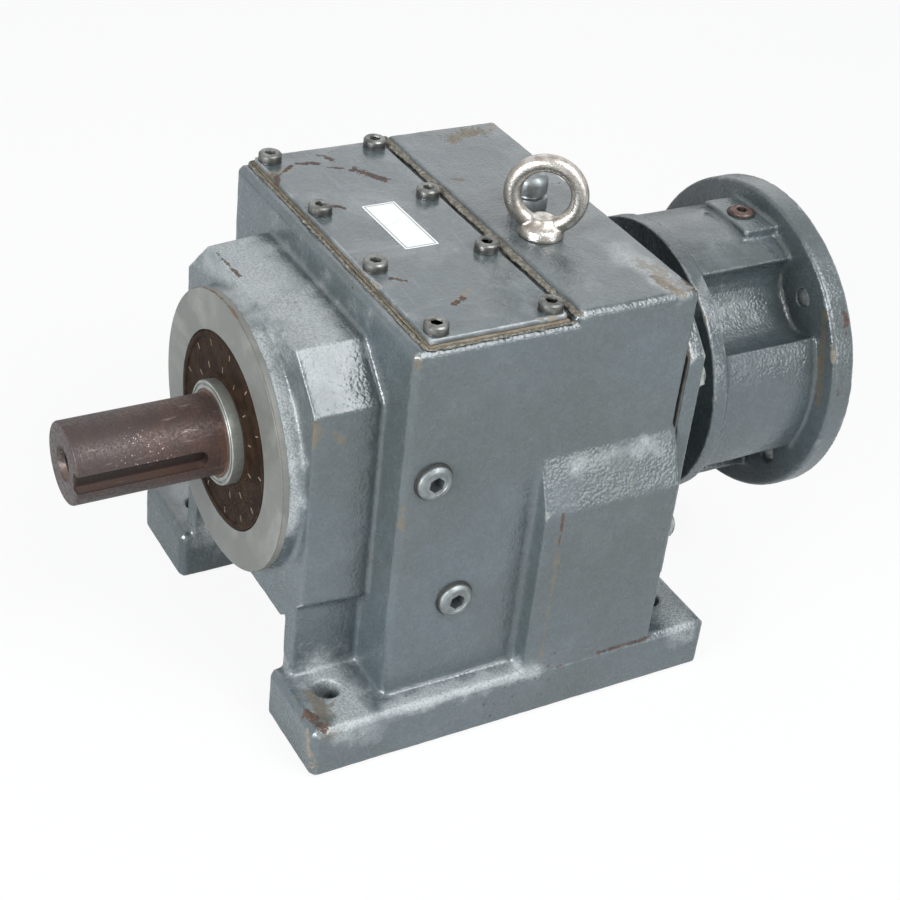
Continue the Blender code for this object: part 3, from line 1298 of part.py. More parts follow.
def adapter_small_parts():
    """The adapter's gasket, plate bolts and access plug."""
    low = INPUT_HEIGHT - PLATE_BELOW_AXIS
    top = INPUT_HEIGHT + PLATE_ABOVE_AXIS
    wide = HALF_CASE - SEALANT_PROUD
    slant = PLATE_CHAMFER
    half = REAR_OPENING_HALF
    opening = [
        (-half, INPUT_HEIGHT - REAR_OPENING_BELOW_AXIS), (half, INPUT_HEIGHT - REAR_OPENING_BELOW_AXIS),
        (half, INPUT_HEIGHT + REAR_OPENING_ABOVE_AXIS), (-half, INPUT_HEIGHT + REAR_OPENING_ABOVE_AXIS),
    ]
    places = plate_bolt_places()
    gasket = flat_solid(
        "adapter_gasket", DATUM,
        [
            (-wide, low + slant), (-wide + slant, low), (wide - slant, low), (wide, low + slant),
            (wide, top - slant), (wide - slant, top), (-wide + slant, top), (-wide, top - slant),
        ],
        CASE_LENGTH + GAP, CASE_LENGTH + GAP + GASKET,
        [opening, *[circle(place, PLATE_BOLT_RADIUS + BOLT_HOLE_GAP) for place in places]],
    )
    finish(gasket, DARK_PAPER)
    seat = ADAPTER_FACE + PLATE_THICKNESS + GAP
    for number, (x, z) in enumerate(places, start=1):
        bolt = turned(
            f"adapter_bolt_{number}", DATUM,
            [
                (0, seat - PLATE_BOLT_LENGTH), (PLATE_BOLT_RADIUS, seat - PLATE_BOLT_LENGTH),
                (PLATE_BOLT_RADIUS, seat + GAP), (0, seat + GAP),
            ],
            None, "Y", (x, 0, z),
        )
        head = round_bars(
            f"adapter_bolt_{number}_head", DATUM, PLATE_BOLT_HEAD, (seat, seat + PLATE_BOLT_HEAD_HEIGHT),
            [(x, z)], "Y", 6,
        )
        join(bolt, head)
        finish(bolt, PAINT)
    flange = CASE_LENGTH + FLANGE_START
    pad_top = INPUT_HEIGHT + BODY_RADIUS + ACCESS_PAD_PROUD
    socket = ACCESS_PLUG_RADIUS * 0.6
    sizes = (ACCESS_PLUG_RADIUS, ACCESS_PLUG_LENGTH, ACCESS_PLUG_HEAD, ACCESS_PLUG_HEIGHT, socket)
    socket_screw(
        "adapter_access_plug", DATUM, (0, flange - ACCESS_PAD_LENGTH / 2, pad_top + GAP), sizes, "Z",
        FITTING_FACETS, ZINC,
    )


def build():
    """Make every piece of the reducer."""
    gear_housing()
    top_cover()
    side_plugs()
    eye_bolt()
    breather_valve()
    output_shaft_parts()
    intermediate_shaft_parts()
    input_shaft_parts()
    motor_adapter()
    adapter_small_parts()
    for item in PARTS.objects:
        if item.type == "MESH":
            shade(item)


build()
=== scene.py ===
"""Looks of an inline helical gear reducer: scuffed castings, plated screws and a rusty output shaft.

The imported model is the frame. The two castings, the turned pieces, the screws, the seal and the blank label are
made here and stand for the solids that they cover. The gears and bearings inside keep their solids and get oiled
steel. Sizes are metres in the frame's own axes: the shaft points along -Y and +Z is up.
"""

import json
import logging
import math
from dataclasses import dataclass, field
from enum import Enum

import bmesh
import bpy
import numpy as np
from mathutils import Matrix, Vector, noise

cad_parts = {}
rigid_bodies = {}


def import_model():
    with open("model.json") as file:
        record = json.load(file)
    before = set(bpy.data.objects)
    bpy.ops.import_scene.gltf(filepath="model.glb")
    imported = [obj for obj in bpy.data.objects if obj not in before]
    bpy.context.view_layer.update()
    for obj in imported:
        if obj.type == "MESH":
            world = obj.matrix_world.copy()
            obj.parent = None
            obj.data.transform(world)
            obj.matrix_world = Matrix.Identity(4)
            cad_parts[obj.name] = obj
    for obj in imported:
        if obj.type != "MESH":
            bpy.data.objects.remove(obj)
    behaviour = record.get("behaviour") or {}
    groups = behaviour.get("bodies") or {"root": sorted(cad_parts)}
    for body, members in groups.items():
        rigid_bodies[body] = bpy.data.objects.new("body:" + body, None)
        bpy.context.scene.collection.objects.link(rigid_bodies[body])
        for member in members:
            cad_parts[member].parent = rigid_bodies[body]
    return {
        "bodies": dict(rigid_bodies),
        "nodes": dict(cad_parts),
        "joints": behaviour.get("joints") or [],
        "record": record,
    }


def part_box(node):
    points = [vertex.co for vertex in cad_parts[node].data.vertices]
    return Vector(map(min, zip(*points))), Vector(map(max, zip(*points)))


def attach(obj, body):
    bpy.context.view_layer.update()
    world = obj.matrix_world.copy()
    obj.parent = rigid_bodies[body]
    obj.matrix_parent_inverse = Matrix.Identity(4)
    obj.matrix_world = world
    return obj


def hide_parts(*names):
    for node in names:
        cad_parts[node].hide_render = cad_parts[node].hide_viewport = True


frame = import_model()
log = logging.getLogger("gear_reducer")
Point = tuple[float, float, float]
Colour = tuple[float, float, float]
Socket = bpy.types.NodeSocket


class Axis(Enum):
    """Direction that a turned piece or a bore runs along."""

    X = "X"
    Y = "Y"
    Z = "Z"

    def turn(self) -> Matrix:
        """Return the rotation from the Z axis to this one."""
        turns = {
            Axis.X: Matrix.Rotation(math.radians(90), 4, "Y"),
            Axis.Y: Matrix.Rotation(math.radians(-90), 4, "X"),
            Axis.Z: Matrix.Identity(4),
        }
        return turns[self]


class Graph:
    """Adds nodes to one node tree and links them by the names of their sockets."""

    def __init__(self, tree: bpy.types.NodeTree) -> None:
        """Keep the tree.

        Args:
            tree: shader or geometry tree that the nodes go in.
        """
        self.tree = tree

    def feed(self, socket: Socket, value: object) -> None:
        """Link a socket to an output, or set its value.

        Args:
            socket: input that is fed.
            value: output socket, or the plain value.
        """
        if isinstance(value, bpy.types.NodeSocket):
            self.tree.links.new(value, socket)
        else:
            socket.default_value = value

    def add(self, kind: str, inputs: dict | None = None, **settings: object) -> bpy.types.Node:
        """Add a node.

        Args:
            kind: Blender's type name of the node.
            inputs: values or output sockets by input name or number.
            settings: properties of the node itself.

        Returns:
            The new node.
        """
        node = self.tree.nodes.new(kind)
        for name, value in settings.items():
            setattr(node, name, value)
        for key, value in (inputs or {}).items():
            self.feed(node.inputs[key], value)
        return node

    def math(self, operation: str, first: object, second: object = 0.0, clamp: bool = False) -> Socket:
        """Return the output of a Math node.

        Args:
            operation: the node's operation.
            first: first value or socket.
            second: second value or socket.
            clamp: True to keep the result between 0 and 1.
        """
        node = self.add("ShaderNodeMath", {0: first, 1: second}, operation=operation, use_clamp=clamp)
        return node.outputs[0]

    def step(self, value: Socket, low: object, high: float) -> Socket:
        """Return a smooth step of a value from 0 at one limit to 1 at the other.

        Args:
            value: socket that is read.
            low: value or socket that gives 0.
            high: value that gives 1.
        """
        node = self.add(
            "ShaderNodeMapRange", {"Value": value, "From Min": low, "From Max": high},
            interpolation_type="SMOOTHSTEP",
        )
        return node.outputs["Result"]

    def mix(self, mask: object, first: object, second: object) -> Socket:
        """Return two colours mixed by a mask.

        Args:
            mask: share of the second colour.
            first: colour or socket where the mask is 0.
            second: colour or socket where the mask is 1.
        """
        node = self.add("ShaderNodeMix", data_type="RGBA")
        for index, value in ((0, mask), (6, first), (7, second)):
            if isinstance(value, tuple):
                value = (*value, 1.0)
            self.feed(node.inputs[index], value)
        return node.outputs[2]

    def blend(self, mask: object, first: object, second: object) -> Socket:
        """Return two numbers mixed by a mask.

        Args:
            mask: share of the second number.
            first: number or socket where the mask is 0.
            second: number or socket where the mask is 1.
        """
        node = self.add("ShaderNodeMix", {0: mask, 2: first, 3: second}, data_type="FLOAT")
        return node.outputs[0]

    def noise(self, where: Socket, scale: float, detail: float = 4.0, rough: float = 0.55,
              twist: float = 0.0) -> Socket:
        """Return a noise value between 0 and 1.

        Args:
            where: vector that the noise reads.
            scale: features a metre.
            detail: number of octaves.
            rough: share of each finer octave.
            twist: distortion.
        """
        node = self.add(
            "ShaderNodeTexNoise",
            {"Vector": where, "Scale": scale, "Detail": detail, "Roughness": rough, "Distortion": twist},
        )
        return node.outputs["Fac"]

    def place(self, location: Point = (0, 0, 0), turn: Point = (0, 0, 0), scale: Point = (1, 1, 1)) -> Socket:
        """Return Object coordinates moved, turned and stretched by a Mapping node.

        Args:
            location: offset in metres.
            turn: Euler angles in radians.
            scale: factor on each axis.
        """
        here = self.add("ShaderNodeTexCoord").outputs["Object"]
        node = self.add(
            "ShaderNodeMapping", {"Vector": here, "Location": location, "Rotation": turn, "Scale": scale}
        )
        return node.outputs["Vector"]

    def attribute(self, name: str) -> Socket:
        """Return the value of a mesh attribute.

        Args:
            name: name of the attribute.
        """
        return self.add("ShaderNodeAttribute", attribute_name=name).outputs["Fac"]


def new_group(name: str, inputs: dict[str, object], outputs: tuple[str, ...]) -> tuple[Graph, dict, dict]:
    """Start a shader node group with named sockets, numbers or vectors.

    Args:
        name: name of the group.
        inputs: default value of each input.
        outputs: names of the outputs.

    Returns:
        The graph, the group's inputs as outputs to read, and its outputs as inputs to feed.
    """
    tree = bpy.data.node_groups.new(name, "ShaderNodeTree")
    for title, value in inputs.items():
        kind = "NodeSocketVector" if isinstance(value, tuple) else "NodeSocketFloat"
        socket = tree.interface.new_socket(title, in_out="INPUT", socket_type=kind)
        socket.default_value = value
    for title in outputs:
        tree.interface.new_socket(title, in_out="OUTPUT", socket_type="NodeSocketFloat")
    graph = Graph(tree)
    entry = graph.add("NodeGroupInput")
    leave = graph.add("NodeGroupOutput")
    return graph, dict(entry.outputs.items()), dict(leave.inputs.items())


class Groups:
    """The shader node groups that several finishes share, each built once."""

    def __init__(self) -> None:
        """Build every group."""
        self.relief = self._relief()
        self.chips = self._chips()
        self.scuffs = self._scuffs()
        self.specks = self._specks()
        self.stroke = self._stroke()

    def _relief(self) -> bpy.types.NodeTree:
        """Return the group for the pebbly skin of a sand casting under paint."""
        graph, entry, leave = new_group(
            "casting_relief", {"Lump Scale": 480.0, "Grain Scale": 1300.0, "Grain Share": 0.10}, ("Height",)
        )
        where = graph.add("ShaderNodeTexCoord").outputs["Object"]
        shaken = graph.add("ShaderNodeTexNoise", {"Vector": where, "Scale": 300.0, "Detail": 1.0}).outputs["Color"]
        moved = graph.add("ShaderNodeVectorMath", {0: shaken, "Scale": 0.002}, operation="SCALE").outputs[0]
        moved = graph.add("ShaderNodeVectorMath", {0: where, 1: moved}, operation="ADD").outputs[0]
        cells = graph.add(
            "ShaderNodeTexVoronoi", {"Vector": moved, "Scale": entry["Lump Scale"], "Smoothness": 0.7},
            feature="SMOOTH_F1",
        ).outputs["Distance"]
        waves = graph.noise(where, 120.0, 3.0, 0.55)
        pebbles = graph.math("SUBTRACT", 1.0, cells)
        lumps = graph.blend(0.50, pebbles, waves)
        pits = graph.noise(where, entry["Grain Scale"], 2.0, 0.6)
        graph.feed(leave["Height"], graph.blend(entry["Grain Share"], lumps, pits))
        return graph.tree

    def _chips(self) -> bpy.types.NodeTree:
        """Return the group for paint that is knocked off along edges."""
        graph, entry, leave = new_group(
            "edge_chips", {"Edge": 0.0, "Reach": 0.55, "Scale": 90.0}, ("Chipped", "Rubbed")
        )
        where = graph.add("ShaderNodeTexCoord").outputs["Object"]
        fine = graph.noise(where, entry["Scale"], 5.0, 0.65, 0.6)
        patches = graph.noise(where, 17.0, 2.0)
        loose = graph.math("MULTIPLY", graph.step(fine, 0.44, 0.62), graph.step(patches, 0.46, 0.60))
        reached = graph.math("ADD", entry["Edge"], graph.math("MULTIPLY", loose, 0.45))
        limit = graph.math("SUBTRACT", 1.45, entry["Reach"])
        above = graph.math("SUBTRACT", reached, limit)
        graph.feed(leave["Chipped"], graph.step(above, 0.0, 0.06))
        there = graph.step(graph.noise(where, 34.0, 3.0, 0.6), 0.40, 0.60)
        line = graph.math("MULTIPLY", graph.step(entry["Edge"], 0.35, 0.80), graph.blend(there, 0.25, 1.0))
        graph.feed(leave["Rubbed"], graph.math("MAXIMUM", graph.step(above, -0.45, 0.05), line))
        return graph.tree

    def _scuffs(self) -> bpy.types.NodeTree:
        """Return the group for pale smears, wiped streaks and dried dust on paint."""
        graph, entry, leave = new_group("pale_scuffs", {"Amount": 0.5, "Scale": 16.0}, ("Scuffed",))
        here = graph.add("ShaderNodeTexCoord").outputs["Object"]
        clouds = graph.step(graph.noise(here, entry["Scale"], 5.0, 0.64, 0.5), 0.47, 0.70)
        wiped = graph.noise(graph.place(turn=(0.0, 0.0, 0.55), scale=(0.16, 1.0, 0.6)), 190.0, 4.0, 0.65, 0.5)
        crossed = graph.noise(graph.place(turn=(0.2, 0.1, -0.5), scale=(1.0, 0.14, 0.8)), 160.0, 3.0, 0.6, 0.4)
        streaks = graph.math("MAXIMUM", graph.step(wiped, 0.52, 0.72), graph.step(crossed, 0.56, 0.74))
        fine = graph.step(graph.noise(here, 420.0, 3.0, 0.7), 0.38, 0.66)
        dusty = graph.math("MULTIPLY", clouds, graph.blend(fine, 0.55, 1.0))
        both = graph.math("MAXIMUM", dusty, graph.math("MULTIPLY", streaks, graph.blend(clouds, 0.25, 0.75)))
        graph.feed(leave["Scuffed"], graph.math("MULTIPLY", both, entry["Amount"]))
        return graph.tree

    def _specks(self) -> bpy.types.NodeTree:
        """Return the group for small rust spots that come in clusters."""
        graph, entry, leave = new_group("rust_specks", {"Scale": 190.0, "Size": 0.22, "Spread": 0.5}, ("Spot",))
        here = graph.add("ShaderNodeTexCoord").outputs["Object"]
        cells = graph.add("ShaderNodeTexVoronoi", {"Vector": here, "Scale": entry["Scale"], "Randomness": 1.0})
        shape = graph.math("ADD", cells.outputs["Distance"], graph.math(
            "MULTIPLY", graph.noise(here, 900.0, 2.0), 0.16))
        near = graph.math("SUBTRACT", 1.0, graph.step(shape, entry["Size"], 0.30))
        clusters = graph.noise(here, 11.0, 2.5, 0.6)
        limit = graph.math("SUBTRACT", 0.86, graph.math("MULTIPLY", entry["Spread"], 0.45))
        there = graph.step(graph.math("SUBTRACT", clusters, limit), 0.0, 0.08)
        graph.feed(leave["Spot"], graph.math("MULTIPLY", near, there))
        return graph.tree

    def _stroke(self) -> bpy.types.NodeTree:
        """Return the group for one ragged mark along a line on the object."""
        graph, entry, leave = new_group(
            "ragged_stroke",
            {"Start": (0.0, 0.0, 0.0), "End": (0.0, 0.0, 0.1), "Radius": 0.01, "Ragged": 0.5, "Softness": 0.2},
            ("Mark",),
        )
        here = graph.add("ShaderNodeTexCoord").outputs["Object"]
        from_start = self._vector(graph, "SUBTRACT", here, entry["Start"]).outputs[0]
        line = self._vector(graph, "SUBTRACT", entry["End"], entry["Start"]).outputs[0]
        reach = self._vector(graph, "DOT_PRODUCT", from_start, line).outputs["Value"]
        whole = graph.math("MAXIMUM", self._vector(graph, "DOT_PRODUCT", line, line).outputs["Value"], 1e-8)
        share = graph.math("DIVIDE", reach, whole, clamp=True)
        nearest = graph.add(
            "ShaderNodeVectorMath", {0: line, "Scale": share}, operation="SCALE"
        ).outputs[0]
        apart = self._vector(graph, "DISTANCE", from_start, nearest).outputs["Value"]
        off = graph.math("MULTIPLY", graph.math("SUBTRACT", entry["Ragged"], 0.46), 6.5)
        edge = graph.math("ADD", graph.math("DIVIDE", apart, entry["Radius"]), off)
        inner = graph.math("SUBTRACT", 1.0, entry["Softness"])
        graph.feed(leave["Mark"], graph.math("SUBTRACT", 1.0, graph.step(edge, inner, 1.0)))
        return graph.tree

    def _vector(self, graph: Graph, operation: str, first: object, second: object) -> bpy.types.Node:
        """Return a Vector Math node.

        Args:
            graph: graph of the group.
            operation: the node's operation.
            first: first vector.
            second: second vector.
        """
        return graph.add("ShaderNodeVectorMath", {0: first, 1: second}, operation=operation)


class Finish:
    """Base of the finishes: makes a material and gives it a Principled surface."""

    def start(self, name: str) -> tuple[bpy.types.Material, Graph, bpy.types.Node]:
        """Return a new material, its graph and its Principled node.

        Args:
            name: name of the material.
        """
        material = bpy.data.materials.new(name)
        material.use_nodes = True
        tree = material.node_tree
        tree.nodes.clear()
        graph = Graph(tree)
        surface = graph.add("ShaderNodeBsdfPrincipled")
        graph.add("ShaderNodeOutputMaterial", {"Surface": surface.outputs[0]})
        return material, graph, surface

    def group(self, graph: Graph, tree: bpy.types.NodeTree, inputs: dict, output: str) -> Socket:
        """Return an output of a node group placed in a material.

        Args:
            graph: graph of the material.
            tree: the group.
            inputs: values by the names of the group's inputs.
            output: name of the output.
        """
        node = graph.tree.nodes.new("ShaderNodeGroup")
        node.node_tree = tree
        for name, value in inputs.items():
            graph.feed(node.inputs[name], value)
        return node.outputs[output]

    def bump(self, graph: Graph, surface: bpy.types.Node, height: Socket, distance: float,
             strength: float = 1.0) -> None:
        """Feed the surface's normal from a height.

        Args:
            graph: graph of the material.
            surface: the Principled node.
            height: height between 0 and 1.
            distance: size of the relief in metres.
            strength: share of the relief that shows.
        """
        node = graph.add(
            "ShaderNodeBump", {"Height": height, "Distance": distance, "Strength": strength}
        )
        graph.feed(surface.inputs["Normal"], node.outputs["Normal"])


class Wear(Enum):
    """What a mark on the paint shows."""

    BARE = "bare"
    RUST = "rust"
    STAIN = "stain"
    # PALE marks are pale dust and smears, and on some housing faces painted light
    PALE = "pale"


@dataclass(frozen=True)
class Stroke:
    """A ragged mark on the paint along a line."""

    wear: Wear
    start: Point
    end: Point
    radius: float


@dataclass(frozen=True)
class CastPaint(Finish):
    """Blue-grey machine paint on a casting, with chips, pale smears, grime and rust, and pale strokes that are partly
    painted light.
    """

    name: str
    colour: Colour = (0.068, 0.085, 0.088)
    cool: Colour = (0.080, 0.104, 0.114)
    pale: Colour = (0.400, 0.420, 0.420)
    bare: Colour = (0.230, 0.190, 0.135)
    metal: Colour = (0.150, 0.130, 0.105)
    rust: Colour = (0.085, 0.038, 0.020)
    scale: Colour = (0.026, 0.016, 0.012)
    stain: Colour = (0.135, 0.100, 0.052)
    dirt: Colour = (0.036, 0.038, 0.033)
    lump: float = 0.00052
    chip_reach: float = 0.47
    scuffs: float = 0.34
    side_scuffs: float = 0.05
    strokes: tuple[Stroke, ...] = ()

    def build(self, groups: Groups) -> bpy.types.Material:
        """Return the material.

        Args:
            groups: the shared node groups.
        """
        material, graph, surface = self.start(self.name)
        here = graph.add("ShaderNodeTexCoord").outputs["Object"]
        edge = graph.attribute("edge")
        crevice = graph.attribute("crevice")
        amount = graph.blend(graph.attribute("upward"), self.side_scuffs, self.scuffs)
        chip_inputs = {"Edge": edge, "Reach": self.chip_reach}
        chipped = self.group(graph, groups.chips, chip_inputs, "Chipped")
        rubbed = self.group(graph, groups.chips, chip_inputs, "Rubbed")
        scuffed = self.group(graph, groups.scuffs, {"Amount": amount}, "Scuffed")
        specks = self.group(graph, groups.specks, {}, "Spot")
        relief = self.group(graph, groups.relief, {}, "Height")
        cloud = graph.step(graph.noise(here, 7.0, 3.0, 0.55), 0.38, 0.64)
        colour = graph.mix(cloud, self.colour, self.cool)
        # the colour is drawn up to a quarter darker in the low points of the relief
        hollows = graph.math("MULTIPLY", graph.math("SUBTRACT", 1.0, graph.step(relief, 0.46, 0.60)), 0.25)
        colour = graph.mix(hollows, colour, self.dirt)
        colour = graph.mix(scuffed, colour, self.pale)
        colour = graph.mix(graph.math("MULTIPLY", rubbed, 0.55), colour, self.pale)
        soiled = graph.math("MULTIPLY", graph.step(graph.math("ADD", crevice, graph.math(
            "MULTIPLY", graph.noise(here, 60.0, 4.0, 0.6), 0.5)), 0.60, 1.0), 0.18)
        colour = graph.mix(soiled, colour, self.dirt)
        # pale strokes: dust and smears, and on lit housing faces painted light, all drawn in the pale colour
        pale_speckle = graph.step(graph.noise(here, 700.0, 4.0, 0.75), 0.38, 0.60)
        drift = graph.blend(0.72, graph.noise(here, 60.0, 4.0, 0.6), 0.44)
        dust_and_painted_light = graph.math("MULTIPLY", graph.blend(pale_speckle, 0.30, 0.88), self._marks(
            graph, groups, Wear.PALE, drift, 0.9))
        ragged = graph.blend(0.45, graph.noise(here, 105.0, 3.0, 0.6), graph.noise(here, 380.0, 3.0, 0.65))
        tone = graph.step(graph.noise(here, 300.0, 4.0, 0.65), 0.42, 0.60)
        colour = graph.mix(dust_and_painted_light, colour, self.pale)
        stained = self._marks(graph, groups, Wear.STAIN, ragged)
        colour = graph.mix(graph.math("MULTIPLY", stained, 0.55), colour, self.stain)
        bare = graph.math("MAXIMUM", chipped, self._marks(graph, groups, Wear.BARE, ragged))
        colour = graph.mix(graph.math("MULTIPLY", bare, 0.85), colour, graph.mix(tone, self.bare, self.metal))
        rusted = graph.math("MAXIMUM", specks, self._marks(graph, groups, Wear.RUST, ragged))
        colour = graph.mix(graph.math("MULTIPLY", rusted, 0.92), colour, graph.mix(tone, self.scale, self.rust))
        graph.feed(surface.inputs["Base Color"], colour)
        damage = graph.math("MAXIMUM", bare, rusted)
        gloss = graph.blend(graph.step(graph.noise(here, 40.0, 3.0), 0.35, 0.65), 0.18, 0.30)
        dull = graph.math("MAXIMUM", graph.math("MULTIPLY", scuffed, 1.2, True), dust_and_painted_light)
        gloss = graph.blend(dull, gloss, 0.62)
        gloss = graph.blend(soiled, gloss, 0.80)
        graph.feed(surface.inputs["Roughness"], graph.blend(damage, gloss, 0.85))
        surface.inputs["Specular IOR Level"].default_value = 0.80
        height = graph.math("SUBTRACT", relief, graph.math("MULTIPLY", damage, 0.22))
        self.bump(graph, surface, height, self.lump)
        return material

    def _marks(self, graph: Graph, groups: Groups, wear: Wear, ragged: Socket,
               softness: float = 0.2) -> Socket | float:
        """Return the mask of all marks of one kind.

        Args:
            graph: graph of the material.
            groups: the shared node groups.
            wear: the kind.
            ragged: noise that frays the marks.
            softness: share of the radius over which a mark fades.
        """
        mask: Socket | float = 0.0
        for stroke in self.strokes:
            if stroke.wear is wear:
                values = {
                    "Start": stroke.start, "End": stroke.end, "Radius": stroke.radius, "Ragged": ragged,
                    "Softness": softness,
                }
                mask = graph.math("MAXIMUM", mask, self.group(graph, groups.stroke, values, "Mark"))
        return mask


@dataclass(frozen=True)
class MachinedFace(Finish):
    """Thin worn paint on a turned face, with faint turning marks and chips at its rim."""

    name: str
    axis: Point
    rim: float
    colour: Colour = (0.112, 0.116, 0.105)
    pale: Colour = (0.260, 0.258, 0.230)
    rust: Colour = (0.130, 0.080, 0.045)

    def build(self, groups: Groups) -> bpy.types.Material:
        """Return the material.

        Args:
            groups: the shared node groups.
        """
        material, graph, surface = self.start(self.name)
        here = graph.place(location=tuple(-value for value in self.axis))
        parts = graph.add("ShaderNodeSeparateXYZ", {0: here})
        radius = graph.math("POWER", graph.math(
            "ADD", graph.math("POWER", parts.outputs[0], 2.0), graph.math("POWER", parts.outputs[2], 2.0)), 0.5)
        rings = graph.add("ShaderNodeCombineXYZ", {0: radius})
        marks = graph.noise(rings.outputs[0], 1400.0, 3.0, 0.7)
        edge = graph.attribute("edge")
        chipped = self.group(graph, groups.chips, {"Edge": edge, "Reach": 0.50, "Scale": 150.0}, "Chipped")
        scuffed = self.group(graph, groups.scuffs, {"Amount": 0.7, "Scale": 24.0}, "Scuffed")
        specks = self.group(graph, groups.specks, {"Scale": 260.0, "Spread": 0.6}, "Spot")
        cloud = graph.step(graph.noise(here, 14.0, 4.0, 0.6), 0.36, 0.66)
        colour = graph.mix(cloud, self.colour, tuple(value * 1.16 for value in self.colour))
        colour = graph.mix(scuffed, colour, self.pale)
        damage = graph.math("MAXIMUM", chipped, specks)
        colour = graph.mix(graph.math("MULTIPLY", damage, 0.85), colour, self.rust)
        graph.feed(surface.inputs["Base Color"], colour)
        graph.feed(surface.inputs["Roughness"], graph.blend(damage, graph.blend(scuffed, 0.42, 0.62), 0.85))
        height = graph.blend(0.35, marks, graph.noise(here, 300.0, 3.0))
        height = graph.math("SUBTRACT", height, graph.math("MULTIPLY", damage, 0.8))
        self.bump(graph, surface, height, 0.00022)
        return material


@dataclass(frozen=True)
class RustySteel(Finish):
    """Brown rust on a turned shaft, with bright specks and turning marks, and painted light and shade in the keyway
    and the centre hole.
    """

    name: str
    axis: Point
    brown: Colour = (0.046, 0.030, 0.026)
    red: Colour = (0.084, 0.043, 0.033)
    orange: Colour = (0.180, 0.082, 0.048)
    pale: Colour = (0.440, 0.380, 0.330)
    bright_from: float = -0.1760
    steel: Colour = (0.052, 0.044, 0.043)
    # shade is painted shadow on the keyway floor, its upper wall and the upper part of the centre hole; ledge is
    # painted light on the keyway's lower wall and the lower part of the centre hole
    shade: Colour = (0.010, 0.007, 0.006)
    ledge: Colour = (0.150, 0.095, 0.075)
    tip: float = -0.2658
    skin: float = 0.0266
    wall: float = 0.0062
    specked: tuple[float, float] = (-0.2440, -0.2000)

    def build(self, groups: Groups) -> bpy.types.Material:
        """Return the material.

        Args:
            groups: the shared node groups.
        """
        material, graph, surface = self.start(self.name)
        here = graph.add("ShaderNodeTexCoord").outputs["Object"]
        across, along, height = graph.add("ShaderNodeSeparateXYZ", {0: here}).outputs[:3]
        rise = graph.math("SUBTRACT", height, self.axis[2])
        cloud = graph.step(graph.noise(here, 34.0, 6.0, 0.68, 0.4), 0.36, 0.66)
        colour = graph.mix(cloud, self.brown, self.red)
        greyed = graph.math("SUBTRACT", 1.0, graph.step(along, -0.2400, -0.2050))
        colour = graph.mix(graph.math("MULTIPLY", greyed, 0.65), colour, self.steel)
        near = graph.step(along, self.bright_from, self.bright_from + 0.012)
        fresh = graph.math("MULTIPLY", near, graph.step(graph.noise(here, 85.0, 4.0, 0.7), 0.40, 0.58))
        colour = graph.mix(graph.math("MULTIPLY", fresh, 0.75), colour, self.orange)
        grain = graph.step(graph.noise(here, 520.0, 3.0, 0.7), 0.36, 0.62)
        colour = graph.mix(graph.math("MULTIPLY", graph.math("SUBTRACT", 1.0, grain), 0.45), colour, (0.035, 0.022, 0.018))
        specks = self.group(graph, groups.specks, {"Scale": 420.0, "Size": 0.20, "Spread": 0.95}, "Spot")
        hollow, floor = self._hollow(graph, across, along, rise)
        first, last = self.specked
        band = graph.math("MULTIPLY", graph.step(along, first, first + 0.012), graph.math(
            "SUBTRACT", 1.0, graph.step(along, last - 0.012, last)))
        band = graph.math("MULTIPLY", band, graph.step(rise, 0.0010, 0.0080))
        colour = graph.mix(graph.math("MULTIPLY", specks, graph.blend(band, 0.10, 0.80)), colour, self.pale)
        # painted light over the keyway and the centre hole, then painted shadow on the parts of them that face away
        # from the light
        colour = graph.mix(graph.math("MULTIPLY", hollow, 0.55), colour, self.ledge)
        colour = graph.mix(graph.math("MULTIPLY", floor, 0.85), colour, self.shade)
        streak = graph.noise(graph.place(scale=(1.0, 0.16, 1.0)), 240.0, 4.0, 0.65, 0.2)
        worn = graph.math("MULTIPLY", graph.step(streak, 0.62, 0.74), 0.35)
        colour = graph.mix(worn, colour, self.pale)
        graph.feed(surface.inputs["Base Color"], colour)
        graph.feed(surface.inputs["Metallic"], graph.blend(worn, 0.35, 0.85))
        graph.feed(surface.inputs["Roughness"], graph.blend(grain, 0.60, 0.36))
        rings = graph.noise(graph.place(scale=(0.05, 1.0, 0.05)), 900.0, 2.0)
        relief = graph.blend(0.45, graph.noise(here, 480.0, 4.0, 0.65), rings)
        self.bump(graph, surface, relief, 0.00030)
        return material

    def _hollow(self, graph: Graph, across: Socket, along: Socket, rise: Socket) -> tuple[Socket, Socket]:
        """Return where the keyway and the centre hole are, and where they lie in shade.

        Args:
            graph: the material's nodes.
            across, along, rise: the place on the shaft, measured from its axis.
        """
        reach = graph.math("SQRT", graph.math("ADD", graph.math("MULTIPLY", across, across), graph.math(
            "MULTIPLY", rise, rise)))
        under = graph.math("SUBTRACT", 1.0, graph.step(reach, self.skin - 0.0016, self.skin))
        hollow = graph.math("MULTIPLY", under, graph.step(along, self.tip + 0.0003, self.tip + 0.0020))
        return hollow, graph.math("MULTIPLY", hollow, graph.step(rise, -self.wall, 0.0022 - self.wall))


